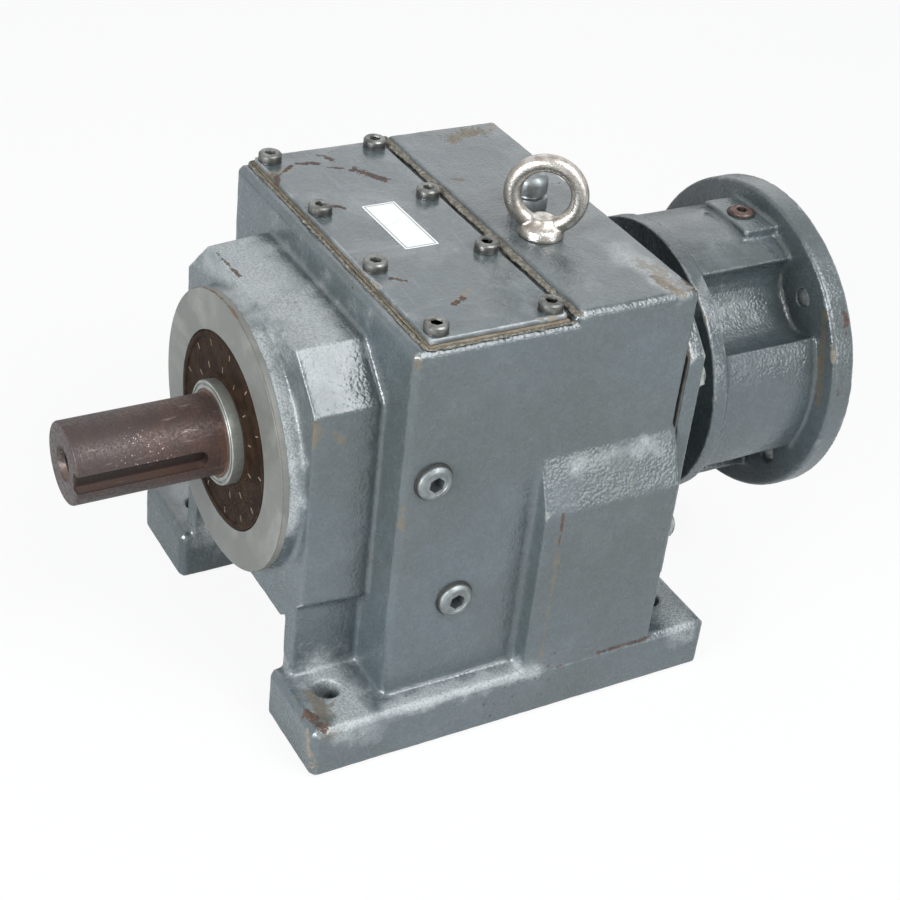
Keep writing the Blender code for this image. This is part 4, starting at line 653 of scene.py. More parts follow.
@dataclass(frozen=True)
class PlatedSteel(Finish):
    """Zinc or nickel plate with dull patches, grime in its corners and a little rust."""

    name: str
    colour: Colour = (0.190, 0.192, 0.182)
    dull: Colour = (0.090, 0.092, 0.086)
    rust: Colour = (0.200, 0.100, 0.050)
    gloss: float = 0.34
    dirt: float = 0.5
    spread: float = 0.55
    relief: float = 0.00008

    def build(self, groups: Groups) -> bpy.types.Material:
        """Return the material.

        Args:
            groups: the shared node groups.
        """
        material, graph, surface = self.start(self.name)
        here = graph.add("ShaderNodeTexCoord").outputs["Object"]
        crevice = graph.attribute("crevice")
        cloud = graph.step(graph.noise(here, 110.0, 5.0, 0.65), 0.38, 0.64)
        colour = graph.mix(cloud, self.colour, self.dull)
        fine = graph.noise(here, 700.0, 4.0, 0.65)
        dirty = graph.math("MULTIPLY", graph.step(graph.math("ADD", crevice, graph.math(
            "MULTIPLY", fine, 0.35)), 0.40, 0.80), self.dirt)
        colour = graph.mix(dirty, colour, (0.045, 0.040, 0.034))
        specks = self.group(graph, groups.specks, {"Scale": 520.0, "Spread": self.spread}, "Spot")
        colour = graph.mix(graph.math("MULTIPLY", specks, 0.8), colour, self.rust)
        graph.feed(surface.inputs["Base Color"], colour)
        spoiled = graph.math("MAXIMUM", dirty, specks)
        graph.feed(surface.inputs["Metallic"], graph.blend(spoiled, 0.95, 0.15))
        rough = graph.blend(cloud, self.gloss, self.gloss + 0.14)
        graph.feed(surface.inputs["Roughness"], graph.blend(spoiled, rough, 0.75))
        self.bump(graph, surface, fine, self.relief)
        return material


@dataclass(frozen=True)
class OiledSteel(Finish):
    """Ground or cut steel under a film of oil, for the pieces inside."""

    name: str
    colour: Colour = (0.320, 0.320, 0.325)
    oil: Colour = (0.200, 0.165, 0.110)
    gloss: float = 0.22

    def build(self, groups: Groups) -> bpy.types.Material:
        """Return the material.

        Args:
            groups: the shared node groups; not used.
        """
        material, graph, surface = self.start(self.name)
        here = graph.add("ShaderNodeTexCoord").outputs["Object"]
        film = graph.step(graph.noise(here, 38.0, 4.0, 0.6, 0.8), 0.44, 0.68)
        graph.feed(surface.inputs["Base Color"], graph.mix(
            graph.math("MULTIPLY", film, 0.6), self.colour, self.oil))
        grain = graph.noise(graph.place(scale=(1.0, 0.2, 1.0)), 1100.0, 3.0)
        graph.feed(surface.inputs["Roughness"], graph.blend(grain, self.gloss, self.gloss + 0.16))
        surface.inputs["Metallic"].default_value = 1.0
        self.bump(graph, surface, grain, 0.00003)
        return material


@dataclass(frozen=True)
class MattSkin(Finish):
    """Rubber, gasket paper or sealant: a matt skin with two tones and a grain."""

    name: str
    colour: Colour
    second: Colour
    scale: float = 160.0
    rough: float = 0.75
    relief: float = 0.0002
    spots: Colour = (0.060, 0.040, 0.026)
    specular: float = 0.40

    def build(self, groups: Groups) -> bpy.types.Material:
        """Return the material.

        Args:
            groups: the shared node groups.
        """
        material, graph, surface = self.start(self.name)
        here = graph.add("ShaderNodeTexCoord").outputs["Object"]
        tone = graph.step(graph.noise(here, self.scale, 5.0, 0.66), 0.38, 0.62)
        colour = graph.mix(tone, self.colour, self.second)
        specks = self.group(graph, groups.specks, {"Scale": 420.0, "Size": 0.24, "Spread": 0.9}, "Spot")
        graph.feed(surface.inputs["Base Color"], graph.mix(
            graph.math("MULTIPLY", specks, 0.7), colour, self.spots))
        grain = graph.noise(here, self.scale * 5.0, 3.0, 0.6)
        graph.feed(surface.inputs["Roughness"], graph.blend(grain, self.rough - 0.12, self.rough + 0.08))
        surface.inputs["Specular IOR Level"].default_value = self.specular
        self.bump(graph, surface, graph.blend(0.5, tone, grain), self.relief)
        return material


@dataclass(frozen=True)
class BlankSticker(Finish):
    """White sticker film with a thin printed border and nothing written on it."""

    name: str
    centre: Point
    turn: float
    half: tuple[float, float]
    border: float = 0.0016
    line: float = 0.0005

    def build(self, groups: Groups) -> bpy.types.Material:
        """Return the material.

        Args:
            groups: the shared node groups.
        """
        material, graph, surface = self.start(self.name)
        here = graph.add("ShaderNodeTexCoord").outputs["Object"]
        moved = graph.add("ShaderNodeVectorMath", {0: here, 1: self.centre}, operation="SUBTRACT").outputs[0]
        turned = graph.add(
            "ShaderNodeVectorRotate", {"Vector": moved, "Angle": -self.turn}, rotation_type="Z_AXIS"
        ).outputs[0]
        parts = graph.add("ShaderNodeSeparateXYZ", {0: turned})
        inside = []
        for index in (0, 1):
            reach = graph.math("ABSOLUTE", parts.outputs[index])
            inside.append(graph.math("SUBTRACT", self.half[index] - self.border, reach))
        depth = graph.math("MINIMUM", inside[0], inside[1])
        off = graph.math("ABSOLUTE", depth)
        printed = graph.math("SUBTRACT", 1.0, graph.step(off, self.line * 0.5, self.line))
        scuffed = self.group(graph, groups.scuffs, {"Amount": 0.5, "Scale": 60.0}, "Scuffed")
        colour = graph.mix(scuffed, (0.860, 0.860, 0.840), (0.680, 0.665, 0.620))
        graph.feed(surface.inputs["Base Color"], graph.mix(
            graph.math("MULTIPLY", printed, 0.75), colour, (0.060, 0.060, 0.062)))
        graph.feed(surface.inputs["Roughness"], graph.blend(scuffed, 0.38, 0.60))
        self.bump(graph, surface, graph.noise(here, 140.0, 3.0), 0.00010)
        return material


def link(name: str, mesh: bpy.types.Mesh) -> bpy.types.Object:
    """Return a new object of the scene.

    Args:
        name: name of the piece.
        mesh: its mesh.
    """
    piece = bpy.data.objects.new(name, mesh)
    bpy.context.scene.collection.objects.link(piece)
    return piece


def settle(piece: bpy.types.Object) -> bpy.types.Object:
    """Turn a piece and its modifiers into a plain mesh at the origin.

    Args:
        piece: object with its modifiers.

    Returns:
        The same object with a plain mesh and no modifiers.
    """
    bpy.context.view_layer.update()
    graph = bpy.context.evaluated_depsgraph_get()
    mesh = bpy.data.meshes.new_from_object(piece.evaluated_get(graph))
    mesh.transform(piece.matrix_world)
    mesh.name = piece.name
    piece.modifiers.clear()
    old = piece.data
    if piece.type == "MESH":
        piece.data = mesh
        bpy.data.meshes.remove(old)
        piece.matrix_world = Matrix.Identity(4)
        return piece
    name = piece.name
    bpy.data.objects.remove(piece, do_unlink=True)
    return link(name, mesh)


def merged_copy(source: bpy.types.Object, name: str) -> bpy.types.Mesh:
    """Return a copy of a node's mesh with its loose triangles joined.

    Args:
        source: object of the node.
        name: name of the copy.
    """
    shape = bmesh.new()
    shape.from_mesh(source.data)
    bmesh.ops.remove_doubles(shape, verts=shape.verts, dist=0.00002)
    bmesh.ops.dissolve_limit(shape, angle_limit=math.radians(0.5), verts=shape.verts, edges=shape.edges)
    mesh = bpy.data.meshes.new(name)
    shape.to_mesh(mesh)
    shape.free()
    return mesh


def smooth_by_angle(mesh: bpy.types.Mesh, degrees: float = 35.0) -> None:
    """Shade a mesh smooth, with sharp edges past an angle.

    Args:
        mesh: the mesh.
        degrees: angle past which an edge stays sharp.
    """
    shape = bmesh.new()
    shape.from_mesh(mesh)
    limit = math.radians(degrees)
    for face in shape.faces:
        face.smooth = True
    for edge in shape.edges:
        edge.smooth = len(edge.link_faces) == 2 and edge.calc_face_angle(0.0) < limit
    shape.to_mesh(mesh)
    shape.free()


def read_points(mesh: bpy.types.Mesh) -> np.ndarray:
    """Return the points of a mesh as rows of x, y and z.

    Args:
        mesh: the mesh.
    """
    flat = np.empty(len(mesh.vertices) * 3)
    mesh.vertices.foreach_get("co", flat)
    return flat.reshape(-1, 3)


def write_points(mesh: bpy.types.Mesh, points: np.ndarray) -> None:
    """Move the points of a mesh.

    Args:
        mesh: the mesh.
        points: rows of x, y and z.
    """
    mesh.vertices.foreach_set("co", points.ravel())
    mesh.update()


def read_normals(mesh: bpy.types.Mesh) -> np.ndarray:
    """Return the normals at the points of a mesh.

    Args:
        mesh: the mesh.
    """
    flat = np.empty(len(mesh.vertices) * 3)
    mesh.vertices.foreach_get("normal", flat)
    return flat.reshape(-1, 3)


class Skin:
    """The points of a mesh with their neighbours, for smoothing and for curvature."""

    def __init__(self, mesh: bpy.types.Mesh) -> None:
        """Read the mesh.

        Args:
            mesh: mesh that is worked on.
        """
        self.mesh = mesh
        self.points = read_points(mesh)
        pairs = np.empty(len(mesh.edges) * 2, dtype=np.int64)
        mesh.edges.foreach_get("vertices", pairs)
        pairs = pairs.reshape(-1, 2)
        self.first = np.concatenate((pairs[:, 0], pairs[:, 1]))
        self.second = np.concatenate((pairs[:, 1], pairs[:, 0]))
        self.count = np.maximum(np.bincount(self.first, minlength=len(self.points)), 1)

    def average(self, values: np.ndarray) -> np.ndarray:
        """Return the mean of each point's neighbours.

        Args:
            values: one number or one row for each point.
        """
        if values.ndim == 1:
            return np.bincount(self.first, values[self.second], len(self.count)) / self.count
        columns = [self.average(values[:, index]) for index in range(values.shape[1])]
        return np.stack(columns, axis=1)

    def relax(self, passes: int, weight: np.ndarray | float = 0.5) -> None:
        """Smooth the points.

        Args:
            passes: number of passes.
            weight: share of the way to the neighbours' mean, one number or one for each point.
        """
        share = weight if np.isscalar(weight) else weight[:, None]
        for _ in range(passes):
            self.points += share * (self.average(self.points) - self.points)

    def curvature(self, passes: int = 2) -> np.ndarray:
        """Return the bend of the surface, above 0 in hollows and below 0 on edges, in 1/m.

        Args:
            passes: how often the values are smoothed.
        """
        write_points(self.mesh, self.points)
        normals = read_normals(self.mesh)
        gap = self.average(self.points) - self.points
        steps = np.linalg.norm(self.points[self.first] - self.points[self.second], axis=1)
        size = np.bincount(self.first, steps, len(self.count)) / self.count
        bend = np.einsum("ij,ij->i", gap, normals) / np.maximum(size * size, 1e-9)
        for _ in range(passes):
            bend = 0.5 * bend + 0.5 * self.average(bend)
        return bend

    def fillet(self, rounds: int, allowed: np.ndarray, strength: float = 0.006) -> None:
        """Fill the hollow corners with a soft cast fillet.

        Args:
            rounds: number of rounds of eight passes.
            allowed: 1 for each point that may move, else 0.
            strength: size of the bend that counts as a corner, as a length in metres.
        """
        for _ in range(rounds):
            bend = self.curvature(3)
            weight = np.clip(bend * strength, 0.0, 1.0) * allowed
            weight = np.maximum(weight, self.average(weight)) * (bend > -0.15 / strength)
            self.relax(8, 0.6 * weight)

    def push(self, depth: np.ndarray) -> None:
        """Move the points along their normals.

        Args:
            depth: distance for each point in metres.
        """
        write_points(self.mesh, self.points)
        self.points += depth[:, None] * read_normals(self.mesh)

    def store(self, reach: float = 0.0070) -> None:
        """Write the points and the edge, crevice and upward attributes.

        Args:
            reach: radius of an edge that counts as sharp, in metres.
        """
        bend = self.curvature(3) * reach
        spread = 0.6 * bend + 0.4 * self.average(self.average(bend))
        for name, values in (("edge", np.clip(-spread, 0.0, 1.0)), ("crevice", np.clip(spread, 0.0, 1.0))):
            self.write(name, values)
        self.write("upward", np.clip((read_normals(self.mesh)[:, 2] - 0.76) / 0.18, 0.0, 1.0))

    def write(self, name: str, values: np.ndarray) -> None:
        """Write one attribute.

        Args:
            name: name of the attribute.
            values: one number for each point.
        """
        attribute = self.mesh.attributes.new(name, "FLOAT", "POINT")
        attribute.data.foreach_set("value", values.astype(np.float32))


def lumps(points: np.ndarray, scale: float, seed: float, octaves: int = 2) -> np.ndarray:
    """Return soft noise between about -1 and 1 at each point.

    Args:
        points: rows of x, y and z in metres.
        scale: lumps a metre.
        seed: offset that picks the pattern.
        octaves: number of finer layers.
    """
    offset = Vector((seed, seed * 0.7, -seed))
    return np.array([noise.fractal(Vector(point) * scale + offset, 1.0, 2.0, octaves) for point in points])


def dress(piece: bpy.types.Object, material: bpy.types.Material, body: str,
          nodes: tuple[str, ...] = ()) -> bpy.types.Object:
    """Give a piece its material, its body and the nodes that it stands for.

    Args:
        piece: finished piece.
        material: its material.
        body: name of the CAD body that it rides on.
        nodes: CAD nodes that it replaces.

    Returns:
        The piece.
    """
    piece.data.materials.clear()
    piece.data.materials.append(material)
    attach(piece, body)
    if nodes:
        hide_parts(*nodes)
    log.info("%s: %d faces on %s", piece.name, len(piece.data.polygons), body)
    return piece


@dataclass(frozen=True)
class Corner:
    """A point of a turned profile: its radius, its place along the axis and its rounding."""

    radius: float
    along: float
    soft: float = 0.0


def rounded_profile(corners: list[Corner], steps: int = 4) -> list[tuple[float, float]]:
    """Return a profile with its soft corners rounded.

    Args:
        corners: corners in order.
        steps: points in each rounded corner.

    Returns:
        Points as radius and place along the axis.
    """
    points: list[tuple[float, float]] = []
    for index, corner in enumerate(corners):
        here = Vector((corner.radius, corner.along))
        if corner.soft <= 0 or index in (0, len(corners) - 1):
            points.append((here.x, here.y))
            continue
        before = corners[index - 1]
        after = corners[index + 1]
        back = (Vector((before.radius, before.along)) - here)
        ahead = (Vector((after.radius, after.along)) - here)
        reach = min(corner.soft, back.length * 0.48, ahead.length * 0.48)
        start = here + back.normalized() * reach
        end = here + ahead.normalized() * reach
        for step in range(steps + 1):
            share = step / steps
            spot = start.lerp(here, share).lerp(here.lerp(end, share), share)
            points.append((spot.x, spot.y))
    return points


def lathe(name: str, corners: list[Corner], axis: Axis, centre: Point, sides: int = 96,
          closed: bool = False) -> bpy.types.Mesh:
    """Return a turned mesh.

    Args:
        name: name of the mesh.
        corners: profile; an open one starts and ends on the axis.
        axis: direction of the axis.
        centre: point that the axis goes through and lengths are counted from.
        sides: number of facets round the axis.
        closed: True where the profile is a loop, as on a ring.
    """
    profile = rounded_profile(corners)
    shape = bmesh.new()
    rings = []
    for radius, along in profile:
        if radius < 1e-7:
            rings.append([shape.verts.new((0, 0, along))])
            continue
        angles = [2 * math.pi * k / sides for k in range(sides)]
        rings.append([shape.verts.new((radius * math.cos(a), radius * math.sin(a), along)) for a in angles])
    pairs = list(zip(rings, rings[1:]))
    if closed:
        pairs.append((rings[-1], rings[0]))
    for low, high in pairs:
        for k in range(sides):
            after = (k + 1) % sides
            corner_points = [low[k % len(low)], low[after % len(low)], high[after % len(high)], high[k % len(high)]]
            unique = list(dict.fromkeys(corner_points))
            if len(unique) > 2:
                shape.faces.new(unique)
    bmesh.ops.recalc_face_normals(shape, faces=shape.faces)
    mesh = bpy.data.meshes.new(name)
    shape.to_mesh(mesh)
    shape.free()
    mesh.transform(Matrix.Translation(centre) @ axis.turn())
    smooth_by_angle(mesh)
    return mesh


def joined(name: str, meshes: list[bpy.types.Mesh]) -> bpy.types.Mesh:
    """Return one mesh made of several, which are removed.

    Args:
        name: name of the new mesh.
        meshes: meshes that are joined.
    """
    shape = bmesh.new()
    for mesh in meshes:
        shape.from_mesh(mesh)
    result = bpy.data.meshes.new(name)
    shape.to_mesh(result)
    shape.free()
    for mesh in meshes:
        bpy.data.meshes.remove(mesh)
    return result


def prism(name: str, sides: int, radius: float, start: float, end: float, axis: Axis, centre: Point,
          turn: float = 0.0) -> bpy.types.Mesh:
    """Return a straight bar with flat ends, used as a cutter or as the core of a head.

    Args:
        name: name of the mesh.
        sides: number of flats.
        radius: radius at its corners.
        start: place of its first end along the axis.
        end: place of its other end.
        axis: direction of the axis.
        centre: point that the axis goes through.
        turn: turn about the axis in radians.
    """
    shape = bmesh.new()
    middle = Matrix.Translation((0, 0, (start + end) / 2)) @ Matrix.Rotation(turn, 4, "Z")
    bmesh.ops.create_cone(
        shape, cap_ends=True, segments=sides, radius1=radius, radius2=radius, depth=abs(end - start), matrix=middle
    )
    mesh = bpy.data.meshes.new(name)
    shape.to_mesh(mesh)
    shape.free()
    mesh.transform(Matrix.Translation(centre) @ axis.turn())
    return mesh


def cut_away(piece: bpy.types.Object, cutters: list[bpy.types.Mesh], operation: str = "DIFFERENCE") -> None:
    """Cut meshes out of a piece, or join them to it.

    Args:
        piece: piece that is cut.
        cutters: meshes that are used once and removed.
        operation: DIFFERENCE or UNION.
    """
    helpers = []
    for number, mesh in enumerate(cutters):
        helper = link(f"{piece.name}_helper_{number}", mesh)
        modifier = piece.modifiers.new(f"helper_{number}", "BOOLEAN")
        modifier.operation = operation
        modifier.solver = "EXACT"
        modifier.object = helper
        helpers.append(helper)
    settle(piece)
    for helper in helpers:
        mesh = helper.data
        bpy.data.objects.remove(helper, do_unlink=True)
        bpy.data.meshes.remove(mesh)


@dataclass(frozen=True)
class RoundBand:
    """A round surface that the solids give in flats, made truly round again."""

    centre: tuple[float, float]
    flats: int
    low: float
    high: float
    start: float
    end: float

    def apply(self, points: np.ndarray) -> None:
        """Move the points of the band outwards from the flats to the circle.

        Args:
            points: rows of x, y and z, changed in place.
        """
        across = points[:, 0] - self.centre[0]
        up = points[:, 2] - self.centre[1]
        radius = np.hypot(across, up)
        step = 2 * math.pi / self.flats
        off = np.mod(np.arctan2(up, across), step) - step / 2
        grow = np.cos(off) / math.cos(step / 2)
        inside = (points[:, 1] > self.start) & (points[:, 1] < self.end)
        inside &= (radius * grow > self.low) & (radius * grow < self.high)
        points[inside, 0] = self.centre[0] + across[inside] * grow[inside]
        points[inside, 2] = self.centre[1] + up[inside] * grow[inside]


@dataclass(frozen=True)
class Zone:
    """A box of space, used to say where a treatment applies."""

    low: Point
    high: Point

    def mask(self, points: np.ndarray) -> np.ndarray:
        """Return True for the points inside.

        Args:
            points: rows of x, y and z.
        """
        return np.all((points > np.array(self.low)) & (points < np.array(self.high)), axis=1)


@dataclass(frozen=True)
class Draft:
    """Taper that lets a cast block leave its mould: it widens from its face to its root."""

    centre: tuple[float, float]
    face: float
    root: float
    slope: float
    neck: float

    def apply(self, points: np.ndarray) -> None:
        """Spread the points of the block away from its middle.

        Args:
            points: rows of x, y and z, changed in place.
        """
        across = points[:, 0] - self.centre[0]
        up = points[:, 2] - self.centre[1]
        radius = np.maximum(np.hypot(across, up), 1e-6)
        deep = np.clip(points[:, 1] - self.face, 0.0, self.root - self.face)
        inside = (points[:, 1] > self.face - 0.002) & (points[:, 1] < self.root) & (radius > self.neck)
        inside &= points[:, 2] > 0.050
        fade = np.clip((self.root - points[:, 1]) / 0.006, 0.0, 1.0)
        shift = (deep - 0.4 * (self.root - self.face)) * self.slope * inside * fade
        points[:, 0] += shift * across / radius
        points[:, 2] += shift * up / radius


@dataclass
class Casting:
    """A sand casting: the CAD solid with soft edges, cast fillets and a lumpy skin."""

    name: str
    node: str
    body: str
    voxel: float
    most_triangles: int = 185000
    edge_passes: int = 1
    fillet_rounds: int = 0
    lump_height: float = 0.00022
    bands: tuple[RoundBand, ...] = ()
    sharp_zones: tuple[Zone, ...] = ()
    inner: tuple[Zone, ...] = ()
    draft: "Draft | None" = None
    seed: float = 3.0

    def build(self, frame: dict) -> bpy.types.Object:
        """Return the piece, not yet dressed.

        Args:
            frame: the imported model.
        """
        piece = link(self.name, merged_copy(frame["nodes"][self.node], self.name))
        remesh = piece.modifiers.new("sand_mould", "REMESH")
        remesh.mode = "VOXEL"
        remesh.voxel_size = self.voxel * 1.0
        settle(piece)
        skin = Skin(piece.data)
        for band in self.bands:
            band.apply(skin.points)
        if self.draft:
            self.draft.apply(skin.points)
        inside = np.zeros(len(skin.points), dtype=bool)
        for zone in self.inner:
            inside |= zone.mask(skin.points)
        allowed = ~inside
        for zone in self.sharp_zones:
            allowed &= ~zone.mask(skin.points)
        skin.relax(self.edge_passes, 0.5)
        if self.fillet_rounds:
            skin.fillet(self.fillet_rounds, allowed.astype(float))
        depth = np.zeros(len(skin.points))
        outside = np.flatnonzero(~inside)
        wide = lumps(skin.points[outside], 26.0, self.seed)
        fine = lumps(skin.points[outside], 115.0, self.seed + 5.0)
        depth[outside] = self.lump_height * (0.9 * wide + 0.7 * fine)
        skin.push(depth)
        write_points(piece.data, skin.points)
        triangles = sum(len(face.vertices) - 2 for face in piece.data.polygons)
        if triangles > self.most_triangles:
            thin = piece.modifiers.new("thin", "DECIMATE")
            thin.ratio = self.most_triangles / triangles
            settle(piece)
        Skin(piece.data).store()
        for face in piece.data.polygons:
            face.use_smooth = True
        return piece


@dataclass
class Housing:
    """The gear housing with its turned nose rim."""

    name: str = "housing_casting"
    nose_radius: float = 0.0930
    bore_radius: float = 0.0664
    rim_depth: float = 0.0048
    rim_edge: float = 0.0009
    rim_proud: float = 0.0002
    voxel: float = 0.0013

    def build(self, frame: dict, groups: Groups) -> None:
        """Build and dress the housing.

        Args:
            frame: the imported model.
            groups: the shared node groups.
        """
        low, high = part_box("gear_housing")
        axis = centre_of("output_shaft")
        rim_back = low[1] + self.rim_depth
        casting = Casting(
            self.name, "gear_housing", "housing", self.voxel, fillet_rounds=7,
            bands=(
                RoundBand((axis[0], axis[2]), 32, self.nose_radius - 0.006, self.nose_radius + 0.0012,
                          low[1] - 0.001, low[1] + 0.0145),
            ),
            sharp_zones=(Zone((-0.16, -0.12, 0.286), (0.16, 0.12, 0.32)),),
            inner=(
                Zone((-0.1202, -0.0862, 0.0386), (0.1202, 0.1030, 0.2780)),
                Zone((-0.110, -0.080, 0.255), (0.110, -0.010, 0.292)),
            ),
            draft=Draft((axis[0], axis[2]), low[1] + 0.0155, -0.0984, 0.070, 0.0945),
        )
        piece = casting.build(frame)
        points = read_points(piece.data)
        near = np.hypot(points[:, 0] - axis[0], points[:, 2] - axis[2]) < self.nose_radius + 0.003
        face = near & (points[:, 1] < rim_back - 0.0012)
        points[face, 1] = rim_back - 0.0012
        write_points(piece.data, points)
        dress(piece, self._paint(groups, high[2], low[1] + 0.0155), "housing", ("gear_housing",))
        front = Corner
        ring = lathe(
            "nose_rim",
            [
                front(self.bore_radius, 0.0, 0.0007), front(self.nose_radius + self.rim_proud, 0.0, self.rim_edge),
                front(self.nose_radius + self.rim_proud, self.rim_depth), front(self.bore_radius, self.rim_depth),
            ],
            Axis.Y, (axis[0], low[1], axis[2]), 160, True,
        )
        mark_by_radius(ring, axis, self.nose_radius + self.rim_proud, 0.0018, low[1] + 0.002)
        rim = MachinedFace("nose_face", (axis[0], 0.0, axis[2]), self.nose_radius).build(groups)
        dress(link("nose_rim", ring), rim, "housing")


    def _paint(self, groups: Groups, pad: float, block: float) -> bpy.types.Material:
        """Return the paint of the housing with the marks that the real one shows, and pale strokes of painted light on
        the block top, the bulge top, the fillet before the bulge and the nose rim.

        Args:
            groups: the shared node groups.
            pad: height of the pad behind the cover.
            block: place along Y of the front block's face.
        """
        side, case, foot = 0.1306, -0.0984, 0.0399
        strokes = (
            Stroke(Wear.BARE, (-0.1110, 0.0560, pad), (-0.1170, 0.0830, pad), 0.0075),
            Stroke(Wear.STAIN, (-0.1160, 0.0900, pad), (-0.1230, 0.0980, pad), 0.0070),
            Stroke(Wear.BARE, (-0.0540, 0.0270, pad), (-0.0520, 0.0300, pad), 0.0022),
            Stroke(Wear.PALE, (0.0700, 0.0780, pad), (0.1200, 0.0860, pad), 0.0150),
            Stroke(Wear.STAIN, (0.0900, 0.0840, pad), (0.1230, 0.0900, pad), 0.0090),
            Stroke(Wear.BARE, (0.1040, 0.0800, pad), (0.1260, 0.0860, pad), 0.0036),
            Stroke(Wear.RUST, (0.1150, 0.0990, pad), (0.1290, 0.0990, pad), 0.0034),
            Stroke(Wear.STAIN, (side, case, 0.2960), (side, case, 0.1300), 0.0017),
            Stroke(Wear.STAIN, (side, case, 0.2960), (side, case - 0.003, 0.2800), 0.0040),
            Stroke(Wear.RUST, (side, case, 0.2930), (side, case, 0.2820), 0.0018),
            Stroke(Wear.RUST, (side, case, 0.2350), (side, case, 0.2290), 0.0014),
            Stroke(Wear.STAIN, (side, case, 0.1900), (side, case, 0.1750), 0.0040),
            Stroke(Wear.STAIN, (0.0996, block, 0.2500), (0.0996, block, 0.2050), 0.0018),
            Stroke(Wear.STAIN, (0.0996, block, 0.2400), (0.0996, block, 0.2300), 0.0044),
            Stroke(Wear.RUST, (0.0996, block, 0.2480), (0.0996, block, 0.2440), 0.0016),
            Stroke(Wear.STAIN, (0.0996, block + 0.0140, 0.2330), (0.0996, block + 0.0170, 0.2290), 0.0036),
            Stroke(Wear.RUST, (-0.0560, block + 0.002, 0.2778), (-0.0250, block + 0.004, 0.2778), 0.0020),
            Stroke(Wear.RUST, (0.1250, -0.1500, foot), (0.1420, -0.1460, foot), 0.0045),
            Stroke(Wear.STAIN, (0.1150, -0.1400, foot), (0.1400, -0.1420, foot), 0.0100),
            Stroke(Wear.BARE, (0.1380, -0.1540, 0.0340), (0.1450, -0.1540, 0.0120), 0.0040),
            Stroke(Wear.RUST, (0.1455, 0.0600, 0.0380), (0.1455, 0.1020, 0.0380), 0.0016),
            Stroke(Wear.STAIN, (0.1455, 0.0125, 0.1900), (0.1455, 0.0125, 0.0420), 0.0013),
            Stroke(Wear.RUST, (0.1455, 0.0125, 0.1700), (0.1455, 0.0125, 0.1380), 0.0012),
            Stroke(Wear.STAIN, (0.1455, 0.0125, 0.1500), (0.1455, 0.0125, 0.1180), 0.0024),
            Stroke(Wear.STAIN, (0.1455, 0.0580, 0.1830), (0.1455, 0.0620, 0.1760), 0.0040),
            Stroke(Wear.PALE, (-0.1300, -0.1250, foot), (0.1420, -0.1250, foot), 0.0260),
            Stroke(Wear.PALE, (0.1420, -0.1000, foot), (0.1420, 0.0100, foot), 0.0110),
            Stroke(Wear.PALE, (0.1400, 0.1300, foot), (0.1000, 0.1400, foot), 0.0200),
            # pale patch on the block top: dust, and painted light on the lit top
            Stroke(Wear.PALE, (-0.0700, block + 0.016, 0.2778), (0.0600, block + 0.016, 0.2778), 0.0330),
            # painted light on the lit top of the bulge
            Stroke(Wear.PALE, (0.1400, 0.0250, 0.1980), (0.1400, 0.0900, 0.1980), 0.0110),
            # painted light in the lit fillet before the bulge
            Stroke(Wear.PALE, (side, 0.0100, 0.1900), (side, 0.0100, 0.0480), 0.0050),
            # painted highlight along the lit upper right of the nose rim, in three strokes
            Stroke(Wear.PALE, (0.0300, block - 0.008, 0.2680), (0.0690, block - 0.008, 0.2420), 0.0110),
            Stroke(Wear.PALE, (0.0690, block - 0.008, 0.2420), (0.0900, block - 0.008, 0.2030), 0.0110),
            Stroke(Wear.PALE, (0.0900, block - 0.008, 0.2030), (0.0920, block - 0.008, 0.1600), 0.0090),
        )
        return CastPaint("housing_paint", strokes=strokes).build(groups)


def centre_of(node: str) -> Vector:
    """Return the middle of a node's box.

    Args:
        node: name of the node.
    """
    low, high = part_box(node)
    return (Vector(low) + Vector(high)) / 2


def mark_by_radius(mesh: bpy.types.Mesh, axis: Vector, radius: float, reach: float, front: float) -> None:
    """Write the edge attribute of a turned ring from the distance to its outer rim.

    Args:
        mesh: mesh of the ring.
        axis: point on the ring's axis, which runs along Y.
        radius: outer radius.
        reach: width of the band that counts as edge.
        front: place along Y behind which there is no edge.
    """
    points = read_points(mesh)
    from_rim = radius - np.hypot(points[:, 0] - axis[0], points[:, 2] - axis[2])
    values = np.clip(1.0 - from_rim / reach, 0.0, 1.0) * (points[:, 1] < front)
    attribute = mesh.attributes.new("edge", "FLOAT", "POINT")
    attribute.data.foreach_set("value", values.astype(np.float32))


